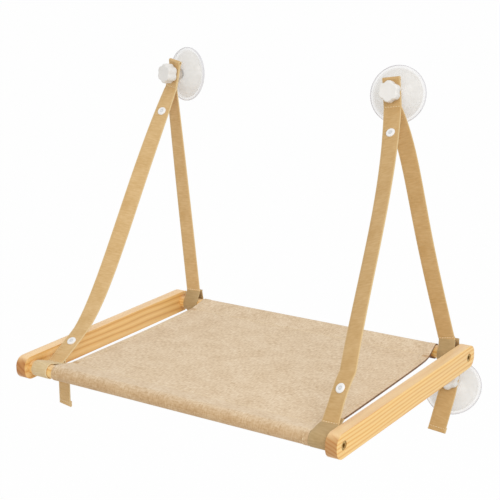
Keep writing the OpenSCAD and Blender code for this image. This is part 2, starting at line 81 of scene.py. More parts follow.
def linear(hex_colour: str) -> tuple[float, float, float, float]:
    """Turn an sRGB hex colour into linear RGBA.

    Args:
        hex_colour: The colour as "#RRGGBB".

    Returns:
        Red, green, blue and alpha, each from 0 to 1.
    """
    parts = [int(hex_colour[i:i + 2], 16) / 255 for i in (1, 3, 5)]
    bent = [c / 12.92 if c <= 0.04045 else ((c + 0.055) / 1.055) ** 2.4 for c in parts]
    return (*bent, 1.0)


def add(tree: bpy.types.NodeTree, kind: str, settings: dict | None = None, inputs: dict | None = None,
        stops: Sequence[tuple[float, str]] = ()) -> bpy.types.Node:
    """Add one shader node, set it up and link it.

    Args:
        tree: The node tree that gets the node.
        kind: The node's type name.
        settings: Properties of the node, by name.
        inputs: Values or sockets for the node's inputs, by name or number.
        stops: Positions from 0 to 1 with their hex colours, where the node has a row of them.

    Returns:
        The new node.
    """
    made = tree.nodes.new(kind)
    for key, value in (settings or {}).items():
        setattr(made, key, value)
    for key, value in (inputs or {}).items():
        if isinstance(value, bpy.types.NodeSocket):
            tree.links.new(value, made.inputs[key])
        else:
            made.inputs[key].default_value = value
    if stops:
        bar = made.color_ramp.elements
        while len(bar) < len(stops):
            bar.new(1.0)
        for element, (place, colour) in zip(bar, stops):
            element.position = place
            element.color = linear(colour)
    return made


def start_material(name: str) -> tuple[bpy.types.Material, bpy.types.NodeTree, bpy.types.Node]:
    """Make a material with only its shader and output.

    Args:
        name: The material's name.

    Returns:
        The material, its tree and its shader node.
    """
    material = bpy.data.materials.new(name)
    material.use_nodes = True
    tree = material.node_tree
    tree.nodes.clear()
    shader = add(tree, "ShaderNodeBsdfPrincipled")
    add(tree, "ShaderNodeOutputMaterial", inputs={"Surface": shader.outputs["BSDF"]})
    return material, tree, shader


@dataclass(frozen=True)
class Pine:
    """Planed pine under clear satin varnish: amber growth lines, upward faces painted paler and pinker as a
    reflection of the sky, arcs on the ends.
    """

    name: str
    grain: Grain
    pith: tuple[float, float, float]
    ring_mm: float = 4.4
    pale: str = "#FAD38B"
    body: str = "#F4C374"
    late: str = "#E3A75A"
    # top: the colour that upward faces blend to, a painted reflection of the sky on the varnish
    top: str = "#EECB9C"
    end: str = "#CDB9B2"
    sky_sheen_share: float = 0.74
    lean: float = 0.0
    waver_mm: float = 5.0
    waver_length_mm: float = 260.0
    waver_cross_mm: float = 45.0
    fibre_mm: float = 0.9
    fibre_run: float = 40.0
    relief: float = 0.25
    relief_mm: float = 0.15
    roughness: float = 0.42

    def build(self) -> bpy.types.Material:
        """Make the material. The growth rings lie round a line along the grain, which passes the pith.

        The real fibres are far finer than fibre_mm, and are drawn coarser so that they show.

        Returns:
            The material.
        """
        material, tree, shader = start_material(self.name)
        place = add(tree, "ShaderNodeTexCoord").outputs["Object"]
        square = [1.0, 1.0, 1.0]
        square[self.grain.value] = 0.0
        slow = [1000 / self.waver_cross_mm] * 3
        slow[self.grain.value] = 1000 / self.waver_length_mm
        fibre = [1000 / self.fibre_mm] * 3
        fibre[self.grain.value] = 1000 / (self.fibre_run * self.fibre_mm)
        leaned = add(tree, "ShaderNodeMapping", inputs={
            "Vector": place, "Rotation": (math.radians(self.lean), 0, 0)}).outputs[0]
        from_pith = add(tree, "ShaderNodeMapping", inputs={
            "Vector": leaned, "Scale": square,
            "Location": [-c * f * MM for c, f in zip(self.pith, square)]}).outputs[0]
        stretched = add(tree, "ShaderNodeMapping", inputs={"Vector": place, "Scale": slow}).outputs[0]
        fine = add(tree, "ShaderNodeMapping", inputs={"Vector": place, "Scale": fibre}).outputs[0]
        radius = add(tree, "ShaderNodeVectorMath", {"operation": "LENGTH"}, {0: from_pith}).outputs["Value"]
        waver = add(tree, "ShaderNodeTexNoise", inputs={
            "Vector": stretched, "Scale": 1.0, "Detail": 2.0}).outputs[0]
        fibres = add(tree, "ShaderNodeTexNoise", inputs={
            "Vector": fine, "Scale": 1.0, "Detail": 2.0}).outputs[0]
        bent = add(tree, "ShaderNodeMath", {"operation": "MULTIPLY_ADD"},
                   {0: waver, 1: 2 * self.waver_mm * MM, 2: radius}).outputs[0]
        rings = add(tree, "ShaderNodeMath", {"operation": "MULTIPLY"},
                    {0: bent, 1: 1000 / self.ring_mm}).outputs[0]
        share = add(tree, "ShaderNodeMath", {"operation": "FRACT"}, {0: rings}).outputs[0]
        colour = add(tree, "ShaderNodeValToRGB", inputs={0: share}, stops=[
            (0.0, self.body), (0.38, self.pale), (0.68, self.body), (0.88, self.late),
            (1.0, self.body)]).outputs[0]
        # Faces that look up take the top colour: a painted sky reflection, paler and pinker
        facing = add(tree, "ShaderNodeSeparateXYZ", inputs={
            0: add(tree, "ShaderNodeTexCoord").outputs["Normal"]}).outputs
        level = add(tree, "ShaderNodeMapRange", inputs={
            0: facing[2], 1: 0.5, 2: 0.95, 3: 0.0, 4: self.sky_sheen_share}).outputs[0]
        with_painted_sheen = add(tree, "ShaderNodeMix", {"data_type": "RGBA"},
                     {0: level, 6: colour, 7: linear(self.top)}).outputs[2]
        square_on = add(tree, "ShaderNodeMath", {"operation": "ABSOLUTE"},
                        {0: facing[self.grain.value]}).outputs[0]
        end_share = add(tree, "ShaderNodeMapRange", inputs={0: square_on, 1: 0.4, 2: 0.9}).outputs[0]
        ends = add(tree, "ShaderNodeMix", {"data_type": "RGBA", "blend_type": "MULTIPLY"},
                   {0: end_share, 6: with_painted_sheen, 7: linear(self.end)}).outputs[2]
        soft = add(tree, "ShaderNodeMapRange", inputs={
            0: fibres, 1: 0.3, 2: 0.7, 3: 0.95, 4: 1.03}).outputs[0]
        tinted = add(tree, "ShaderNodeMix", {"data_type": "RGBA", "blend_type": "MULTIPLY"},
                     {0: 1.0, 6: ends, 7: soft}).outputs[2]
        bump = add(tree, "ShaderNodeBump", inputs={
            "Strength": self.relief, "Distance": self.relief_mm * MM, "Height": fibres}).outputs[0]
        tree.links.new(tinted, shader.inputs["Base Color"])
        tree.links.new(bump, shader.inputs["Normal"])
        shader.inputs["Roughness"].default_value = self.roughness
        shader.inputs["IOR"].default_value = 1.5
        return material


@dataclass(frozen=True)
class Linen:
    """Plain-woven linen in natural beige: matt, speckled by uneven threads, with painted shade, warmer and
    darker, on the sleeves round the dowels.
    """

    name: str = "natural plain-weave linen"
    pale: str = "#F0DDC1"
    body: str = "#E0C7A5"
    dark: str = "#C9AB84"
    # Painted shade on the curved sleeves, multiplied in: warmer and darker
    painted_sleeve_shade: str = "#E9DAC4"
    thread_mm: float = 1.8
    thread_run: float = 3.5
    mottle_mm: float = 30.0
    mottle_share: float = 0.25
    sleeve_mm: float = 61.0
    fade_mm: float = 8.0
    length_mm: float = 455.8
    relief: float = 0.35
    relief_mm: float = 0.35
    sheen: float = 0.15
    roughness: float = 0.9

    def build(self) -> bpy.types.Material:
        """Make the material. The real thread is under 1 mm, and is drawn coarser so that it shows.

        Returns:
            The material.
        """
        material, tree, shader = start_material(self.name)
        uv = add(tree, "ShaderNodeUVMap", {"uv_map": "weave"}).outputs[0]
        warp_scale = WEAVE_UNIT / self.thread_mm
        warp = add(tree, "ShaderNodeTexNoise", inputs={
            "Vector": add(tree, "ShaderNodeMapping", inputs={
                "Vector": uv, "Scale": (warp_scale, warp_scale / self.thread_run, 1)}).outputs[0],
            "Scale": 1.0, "Detail": 1.0}).outputs[0]
        weft = add(tree, "ShaderNodeTexNoise", inputs={
            "Vector": add(tree, "ShaderNodeMapping", inputs={
                "Vector": uv, "Scale": (warp_scale / self.thread_run, warp_scale, 1),
                "Location": (3.7, 8.1, 0)}).outputs[0],
            "Scale": 1.0, "Detail": 1.0}).outputs[0]
        mottle = add(tree, "ShaderNodeTexNoise", inputs={
            "Vector": uv, "Scale": WEAVE_UNIT / self.mottle_mm, "Detail": 3.0}).outputs[0]
        threads = add(tree, "ShaderNodeMath", {"operation": "ADD"}, {0: warp, 1: weft}).outputs[0]
        weave = add(tree, "ShaderNodeMath", {"operation": "MULTIPLY"}, {0: threads, 1: 0.5}).outputs[0]
        mixed = add(tree, "ShaderNodeMix", inputs={0: self.mottle_share, 2: weave, 3: mottle}).outputs[0]
        colour = add(tree, "ShaderNodeValToRGB", inputs={0: mixed}, stops=[
            (0.34, self.dark), (0.5, self.body), (0.66, self.pale)]).outputs[0]
        # Towards both ends of the sheet the sleeves fade into painted shade, warmer and darker
        along = add(tree, "ShaderNodeSeparateXYZ", inputs={0: uv}).outputs[1]
        back = add(tree, "ShaderNodeMath", {"operation": "SUBTRACT"},
                   {0: self.length_mm / WEAVE_UNIT, 1: along}).outputs[0]
        nearest = add(tree, "ShaderNodeMath", {"operation": "MINIMUM"}, {0: along, 1: back}).outputs[0]
        sleeve_shade_share = add(tree, "ShaderNodeMapRange", {"interpolation_type": "SMOOTHSTEP"}, {
            0: nearest, 1: (self.sleeve_mm - self.fade_mm) / WEAVE_UNIT,
            2: (self.sleeve_mm + self.fade_mm) / WEAVE_UNIT, 3: 1.0, 4: 0.0}).outputs[0]
        with_sleeve_shade = add(tree, "ShaderNodeMix", {"data_type": "RGBA", "blend_type": "MULTIPLY"},
                     {0: sleeve_shade_share, 6: colour, 7: linear(self.painted_sleeve_shade)}).outputs[2]
        bump = add(tree, "ShaderNodeBump", inputs={
            "Strength": self.relief, "Distance": self.relief_mm * MM, "Height": weave}).outputs[0]
        tree.links.new(with_sleeve_shade, shader.inputs["Base Color"])
        tree.links.new(bump, shader.inputs["Normal"])
        shader.inputs["Roughness"].default_value = self.roughness
        shader.inputs["Sheen Weight"].default_value = self.sheen
        shader.inputs["Sheen Roughness"].default_value = 0.5
        return material


@dataclass(frozen=True)
class WovenTape:
    """Close-woven cotton webbing: golden tan, matt, with a faint rib across it and a paler selvedge."""

    name: str
    body: str
    dark: str
    edge: str
    rib_mm: float = 2.0
    rib_run: float = 5.0
    mottle_mm: float = 22.0
    mottle_share: float = 0.5
    half_width: float = 11.8
    selvedge_mm: float = 1.6
    selvedge_share: float = 0.7
    relief: float = 0.35
    relief_mm: float = 0.3
    sheen: float = 0.1
    roughness: float = 0.82

    def build(self) -> bpy.types.Material:
        """Make the material. The real rib is about 1 mm, and is drawn coarser so that it shows.

        Returns:
            The material.
        """
        material, tree, shader = start_material(self.name)
        uv = add(tree, "ShaderNodeUVMap", {"uv_map": "weave"}).outputs[0]
        rib_scale = WEAVE_UNIT / self.rib_mm
        rib = add(tree, "ShaderNodeTexNoise", inputs={
            "Vector": add(tree, "ShaderNodeMapping", inputs={
                "Vector": uv, "Scale": (rib_scale / self.rib_run, rib_scale, 1)}).outputs[0],
            "Scale": 1.0, "Detail": 1.0}).outputs[0]
        mottle = add(tree, "ShaderNodeTexNoise", inputs={
            "Vector": uv, "Scale": WEAVE_UNIT / self.mottle_mm, "Detail": 3.0}).outputs[0]
        mixed = add(tree, "ShaderNodeMix", inputs={0: self.mottle_share, 2: rib, 3: mottle}).outputs[0]
        colour = add(tree, "ShaderNodeValToRGB", inputs={0: mixed}, stops=[
            (0.35, self.dark), (0.65, self.body)]).outputs[0]
        across = add(tree, "ShaderNodeSeparateXYZ", inputs={0: uv}).outputs[0]
        away = add(tree, "ShaderNodeMath", {"operation": "ABSOLUTE"}, {0: across}).outputs[0]
        selvedge = add(tree, "ShaderNodeMapRange", inputs={
            0: away, 1: (self.half_width - self.selvedge_mm) / WEAVE_UNIT, 2: self.half_width / WEAVE_UNIT,
            3: 0.0, 4: self.selvedge_share}).outputs[0]
        edged = add(tree, "ShaderNodeMix", {"data_type": "RGBA"},
                    {0: selvedge, 6: colour, 7: linear(self.edge)}).outputs[2]
        bump = add(tree, "ShaderNodeBump", inputs={
            "Strength": self.relief, "Distance": self.relief_mm * MM, "Height": rib}).outputs[0]
        tree.links.new(edged, shader.inputs["Base Color"])
        tree.links.new(bump, shader.inputs["Normal"])
        shader.inputs["Roughness"].default_value = self.roughness
        shader.inputs["Sheen Weight"].default_value = self.sheen
        return material


@dataclass(frozen=True)
class Moulded:
    """Moulded plastic, spun thread or cast metal: an even body with faint cloudiness and fine texture."""

    name: str
    body: str
    shade: str
    roughness: float
    ior: float = 1.5
    alpha: float = 1.0
    metallic: float = 0.0
    cloud_mm: float = 9.0
    grit: float = 0.2
    grit_mm: float = 0.8
    grit_depth: float = 0.05

    def build(self) -> bpy.types.Material:
        """Make the material. The real grit is finer, and is drawn coarser so that it shows.

        Returns:
            The material.
        """
        material, tree, shader = start_material(self.name)
        place = add(tree, "ShaderNodeTexCoord").outputs["Object"]
        cloud = add(tree, "ShaderNodeTexNoise", inputs={
            "Vector": place, "Scale": 1000 / self.cloud_mm, "Detail": 2.0}).outputs[0]
        grain = add(tree, "ShaderNodeTexNoise", inputs={
            "Vector": place, "Scale": 1000 / self.grit_mm, "Detail": 1.0}).outputs[0]
        colour = add(tree, "ShaderNodeValToRGB", inputs={0: cloud}, stops=[
            (0.3, self.shade), (0.7, self.body)]).outputs[0]
        bump = add(tree, "ShaderNodeBump", inputs={
            "Strength": self.grit, "Distance": self.grit_depth * MM, "Height": grain}).outputs[0]
        tree.links.new(colour, shader.inputs["Base Color"])
        tree.links.new(bump, shader.inputs["Normal"])
        shader.inputs["Roughness"].default_value = self.roughness
        shader.inputs["Metallic"].default_value = self.metallic
        shader.inputs["Alpha"].default_value = self.alpha
        if not self.metallic:
            shader.inputs["IOR"].default_value = self.ior
        return material


class Finishes:
    """Every material of the hammock, made once."""

    def __init__(self) -> None:
        """Build the materials."""
        # Planed pine: golden rails with growth lines along them
        self.rail_pine = {
            # The left rail's side is cut across a wider, darker figure, which drifts off the rail's edge
            Side.LEFT: Pine("clear-varnished pine, left rail", Grain.Y, (-290, 0, -110), 8.5,
                            "#F2C582", "#E8B66B", "#D69A54", "#FEDBAA", "#D2B497",
                            lean=1.6, waver_mm=8.0).build(),
            Side.RIGHT: Pine("clear-varnished pine, right rail", Grain.Y, (180, 0, -130)).build()}
        # The dowels have the right rail's colours, with their lines running crosswise
        self.dowel_pine = Pine("clear-varnished pine, dowels", Grain.X, (0, -30, 40)).build()
        # Undyed linen: a matt, speckled beige over the largest area of the object
        self.linen = Linen().build()
        # The same linen at the turned side hems, painted dark brown as the shade of the fold
        self.linen_edge_painted_shade = Linen("natural linen, turned edge", "#94714F", "#7F5F42", "#6A4E36").build()
        # Cotton webbing: matt golden tan, one webbing in two copies: the left strap a little paler as
        # painted light, the right one darker as painted shade
        self.tape = {
            Side.LEFT: WovenTape("golden cotton webbing, left", "#DFBC87", "#CFA96F", "#EDD6A6").build(),
            Side.RIGHT: WovenTape("golden cotton webbing, right", "#D3AF79", "#C49D63", "#E6CC9A").build()}
        # The same webbing where it wraps a dowel, as painted light and shade: paler and greyer on the left
        # wrap, darker at the right wrap and the rear loops
        self.wrap_tape_light_and_shade = {
            Side.LEFT: WovenTape("golden cotton webbing, left wrap",
                                 "#E3CB9F", "#D3B786", "#EAD6AC").build(),
            Side.RIGHT: WovenTape("golden cotton webbing, right wrap",
                                  "#BFA273", "#AE9060", "#CBB080").build()}
        # Polyester thread, spun and matt: paler than the webbing, so each seam reads as a light line
        self.thread = Moulded("spun polyester thread", "#F3E2BF", "#E8D0A4", 0.8).build()
        # Soft PVC, moulded and clear: milky where it is thick, glossy; its grey, slightly lilac edge is a
        # painted dark reflection round the rim
        self.vinyl = Moulded("clear soft vinyl, dome", "#E9E5DE", "#DBD6CE", 0.14, 1.53, 0.42).build()
        self.vinyl_boss = Moulded("clear soft vinyl, thick boss", "#EDE9E3", "#E2DDD6", 0.16, 1.53,
                                  0.86).build()
        self.vinyl_lip = Moulded("clear soft vinyl, lip", "#F7F6F4", "#F1EFEC", 0.1, 1.53, 0.22).build()
        self.vinyl_rim_painted_reflection = Moulded("clear soft vinyl, edge", "#D8D5D9", "#CECBD0", 0.2, 1.53, 0.62).build()
        # ABS, moulded with a satin tool finish: soft broad highlights on the lobes
        self.knob = Moulded("white satin ABS", "#ECE9E5", "#E6E3DE", 0.38, 1.53).build()
        # Acetal, moulded and polished: small bright caps; the grey ring in each cap's dish is painted shade
        # in the hollow
        self.snap = Moulded("white polished acetal", "#F7F6F4", "#EEEDEB", 0.22, 1.48).build()
        self.snap_dish_painted_shade = Moulded("pale grey polished acetal dish", "#DEDEDD", "#D2D2D1", 0.3, 1.48).build()
        # Zinc-plated steel: cool grey metal with a slightly brushed gloss
        self.steel = Moulded("zinc-plated steel", "#C3C5C8", "#A9ABAE", 0.35, metallic=1.0).build()
        # Antique brass: dull golden-brown metal
        self.brass = Moulded("antique brass", "#C7A561", "#A07F42", 0.4, metallic=0.8, cloud_mm=3.0).build()


# Mesh making


class Maker:
    """Gathers the faces of one piece, in millimetres, and makes its object."""

    def __init__(self, name: str) -> None:
        """Start an empty piece.

        Args:
            name: The name of the piece and of its mesh.
        """
        self.name = name
        self.verts: list[Vector] = []
        self.faces: list[tuple[int, ...]] = []
        self.slots: list[int] = []
        self.weave: list[tuple[float, float]] = []

    def grid(self, rows: Sequence[Sequence[Vector]],
             weave: Sequence[Sequence[tuple[float, float]]] | None = None,
             slot: Callable[[int, int], int] = lambda row, column: 0) -> None:
        """Join closed rows of points with quads, and close both ends.

        Args:
            rows: Rings of points, all of one length.
            weave: For each point, its place on the cloth in millimetres.
            slot: Gives the material slot of the quad at a row and column.
        """
        first, count = len(self.verts), len(rows[0])
        for i, row in enumerate(rows):
            self.verts.extend(row)
            self.weave.extend(weave[i] if weave else [(0.0, 0.0)] * count)
        for i in range(len(rows) - 1):
            for j in range(count):
                a, b = first + i * count + j, first + i * count + (j + 1) % count
                self.faces.append((a, b, b + count, a + count))
                self.slots.append(slot(i, j))
        last = first + (len(rows) - 1) * count
        self.faces.append(tuple(range(first + count - 1, first - 1, -1)))
        self.faces.append(tuple(range(last, last + count)))
        self.slots.extend([slot(0, 0), slot(len(rows) - 2, 0)])

    def stitches(self, row: Sequence[tuple[Vector, Vector, Vector]], length: float, radius: float,
                 slot: int) -> None:
        """Lay short threads, each a flattened spindle.

        Args:
            row: For each stitch, its middle, its direction and the surface normal under it.
            length: Length of one stitch.
            radius: Radius of the thread.
            slot: The material slot of the thread.
        """
        for middle, along, normal in row:
            along = along.normalized()
            across = normal.cross(along).normalized()
            rings = []
            for at, wide in ((-0.5, 0.25), (-0.3, 0.9), (0.3, 0.9), (0.5, 0.25)):
                ring = []
                for k in range(6):
                    a = math.tau * k / 6
                    ring.append(middle + at * length * along
                                + radius * wide * (math.cos(a) * across + 0.7 * math.sin(a) * normal))
                rings.append(ring)
            self.grid(rings, slot=lambda row, column: slot)

    def make(self, materials: Sequence[bpy.types.Material], sharp: float = 40.0) -> bpy.types.Object:
        """Make the object.

        Args:
            materials: One material for each slot.
            sharp: Edges that turn by more than this many degrees stay sharp.

        Returns:
            The object, in metres, linked to the scene.
        """
        mesh = bpy.data.meshes.new(self.name)
        mesh.from_pydata([tuple(v * MM) for v in self.verts], [], self.faces)
        mesh.polygons.foreach_set("material_index", self.slots)
        layer = mesh.uv_layers.new(name="weave")
        for loop in mesh.loops:
            u, v = self.weave[loop.vertex_index]
            layer.data[loop.index].uv = (u / WEAVE_UNIT, v / WEAVE_UNIT)
        work = bmesh.new()
        work.from_mesh(mesh)
        bmesh.ops.recalc_face_normals(work, faces=work.faces)
        work.to_mesh(mesh)
        work.free()
        mesh.shade_smooth()
        mesh.set_sharp_from_angle(angle=math.radians(sharp))
        for material in materials:
            mesh.materials.append(material)
        made = bpy.data.objects.new(self.name, mesh)
        bpy.context.scene.collection.objects.link(made)
        return made


def dress(piece: bpy.types.Object, slot: str, *nodes: str) -> bpy.types.Object:
    """Hide the solids that a piece stands for, and log it.

    Args:
        piece: The piece.
        slot: Not used.
        nodes: The CAD nodes that it replaces.

    Returns:
        The piece.
    """
    if nodes:
        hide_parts(*nodes)
    LOG.info("made %s for %s", piece.name, ", ".join(nodes) or "no node")
    return piece


def metres(p: Vector) -> tuple[float, float, float]:
    """A point in millimetres as a tuple in metres."""
    return tuple(p * MM)


def rounded(points: Sequence[Vector], radius: float, steps: int = 6) -> list[Vector]:
    """Round the corners of a broken line.

    Args:
        points: The line's points.
        radius: How far from each corner the rounding starts.
        steps: Points in each rounding.

    Returns:
        The rounded line.
    """
    made = [points[0]]
    for before, corner, after in zip(points, points[1:], points[2:]):
        back, ahead = before - corner, after - corner
        a = corner + back.normalized() * min(radius, 0.45 * back.length)
        b = corner + ahead.normalized() * min(radius, 0.45 * ahead.length)
        for k in range(steps + 1):
            t = k / steps
            made.append((1 - t) ** 2 * a + 2 * t * (1 - t) * corner + t ** 2 * b)
    made.append(points[-1])
    return made


def spaced(points: Sequence[Vector], step: float) -> list[Vector]:
    """Add points so that no gap along a line is wider than a step.

    Args:
        points: The line's points.
        step: The widest gap.

    Returns:
        The finer line.
    """
    made = [points[0]]
    for a, b in zip(points, points[1:]):
        parts = max(1, math.ceil((b - a).length / step))
        made.extend(a + (b - a) * (k / parts) for k in range(1, parts + 1))
    return made


def lengths(points: Sequence[Vector]) -> list[float]:
    """The distance along a line at each of its points.

    Args:
        points: The line's points.

    Returns:
        The distances, from 0 at the first point.
    """
    made = [0.0]
    for a, b in zip(points, points[1:]):
        made.append(made[-1] + (b - a).length)
    return made


def lathe(maker: Maker, profile: Sequence[tuple[float, float]], place: Matrix, row_slots: Sequence[int],
          steps: int = 96) -> None:
    """Turn a profile about local Z, from one end on the axis to the other.

    Args:
        maker: The piece that gets the faces.
        profile: Radius and height of each ring.
        place: Where the turned shape goes, in millimetres.
        row_slots: The material slot of each band.
        steps: Points in each ring.
    """
    turn = [math.tau * k / steps for k in range(steps)]
    rows = [[place @ Vector((r * math.cos(a), r * math.sin(a), z)) for a in turn] for r, z in profile]
    maker.grid(rows, slot=lambda row, column: row_slots[row])


# Straps


@dataclass(frozen=True)
class Tape:
    """Webbing: a flat woven band with rolled edges, drawn in a little as the photograph shows it."""

    width: float = 23.6
    thick: float = 1.5
    roll: float = 0.4

    def section(self) -> list[tuple[float, float]]:
        """Points round the band.

        Returns:
            For each point, its distance across the band and out of its front face.
        """
        half, h, roll = self.width / 2, self.thick / 2, self.roll
        front = [(half, 0.3 * h), (half - 0.3 * roll, 0.8 * h), (half - roll, h), (0.5 * half, h), (0, h)]
        front += [(-u, v) for u, v in reversed(front[:-1])]
        return front + [(-u, -v) for u, v in front]

    def sweep(self, maker: Maker, path: Sequence[Vector], hints: Sequence[Vector],
              start_run: Vector | None = None, end_run: Vector | None = None,
              slot: Callable[[int], int] = lambda row: 0, spread: Callable[[float], float] = lambda far: 1.0,
              slip: Callable[[float], Vector] = lambda far: Vector()) -> None:
        """Lay the band along a path.

        Args:
            maker: The piece that gets the faces.
            path: Middle points of the band.
            hints: Width direction at each point.
            start_run: The band's direction at its start, where it isn't the path's.
            end_run: The same at its end.
            slot: Gives the material slot of each stretch between two points.
            spread: Gives the share of the band's width that it has at a distance along the path.
            slip: Gives how far the band lies beside the path there, without being turned by it.
        """
        runs = self.runs(path, start_run, end_run)
        along = lengths(path)
        rows, weave = [], []
        for p, run, hint, far in zip(path, runs, hints, along):
            across = (hint - hint.dot(run) * run).normalized()
            out = run.cross(across)
            rows.append([p + slip(far) + u * spread(far) * across + v * out for u, v in self.section()])
            weave.append([(u, far) for u, v in self.section()])
        maker.grid(rows, weave, lambda row, column: slot(row))

    @staticmethod
    def runs(path: Sequence[Vector], start_run: Vector | None, end_run: Vector | None) -> list[Vector]:
        """The band's direction at each point of its path.

        Args:
            path: Middle points of the band.
            start_run: The direction at the start, where it isn't the path's.
            end_run: The same at the end.

        Returns:
            The directions.
        """
        last = len(path) - 1
        made = [(path[min(i + 1, last)] - path[max(i - 1, 0)]).normalized() for i in range(last + 1)]
        made[0] = start_run or made[0]
        made[-1] = end_run or made[-1]
        return made

    def seam(self, maker: Maker, middle: Vector, across: Vector, out: Vector, slot: int, inset: float = 1.2,
             stitch: float = 2.6, gap: float = 0.7, radius: float = 0.42) -> None:
        """Sew a row of stitches across the band.

        Args:
            maker: The piece that gets the thread.
            middle: Middle of the row, on the band's face.
            across: Width direction.
            out: Normal of the face.
            slot: The material slot of the thread.
            inset: Distance of the row's ends from the band's edges.
            stitch: Length of a stitch.
            gap: Gap between stitches.
            radius: Radius of the thread.
        """
        span = self.width - 2 * inset
        count = int((span + gap) / (stitch + gap))
        step = span / count
        row = [(middle + across * ((k + 0.5) * step - span / 2), across, out) for k in range(count)]
        maker.stitches(row, stitch, radius, slot)


@dataclass(frozen=True)
class CupPlace:
    """Where a suction cup hangs: sideways, height, outward turn, upward tilt, webbing layers and lean."""

    name: str
    x: float
    z: float
    turn: float
    tilt: float
    layers: int
    lean: float = 0.0

    cup_height: ClassVar[float] = 24.3
    seat_gap: ClassVar[float] = 0.2

    @property
    def strap_base(self) -> float:
        """Height of the clamped webbing's rear face above the cup's rim."""
        return self.cup_height + self.seat_gap

    @property
    def pivot(self) -> Vector:
        """The middle of the clamped webbing."""
        return Vector((self.x, -self.strap_base - self.layers * Tape.thick / 2, self.z))

    @property
    def axis(self) -> Vector:
        """The direction of the stud, from the rim out."""
        a, b = math.radians(self.turn), math.radians(self.tilt)
        return Vector((math.sin(a) * math.cos(b), -math.cos(a) * math.cos(b), math.sin(b)))

    @property
    def across(self) -> Vector:
        """The cup's level sideways direction."""
        a = math.radians(self.turn)
        return Vector((math.cos(a), math.sin(a), 0))

    @property
    def up(self) -> Vector:
        """The cup's upward direction along its rim."""
        return self.axis.cross(self.across)

    @property
    def matrix(self) -> Matrix:
        """Cup space, with Z along the stud from the rim.

        Returns:
            The cup's place in millimetres.
        """
        made = Matrix((self.across, self.up, self.axis)).transposed().to_4x4()
        made.translation = self.pivot - (self.strap_base + self.layers * Tape.thick / 2) * self.axis
        return made

    @property
    def webbing_matrix(self) -> Matrix:
        """Cup space turned about the stud, with Y up the clamped webbing."""
        return self.matrix @ Matrix.Rotation(math.radians(self.lean), 4, "Z")

    @property
    def webbing_across(self) -> Vector:
        """The width direction of the clamped webbing with its lean."""
        return self.webbing_matrix.col[0].to_3d()

    @property
    def webbing_up(self) -> Vector:
        """The upward direction of the clamped webbing with its lean."""
        return self.webbing_matrix.col[1].to_3d()

    @property
    def body(self) -> str:
        """The CAD body of the cup."""
        return f"{self.name}_cup_set"


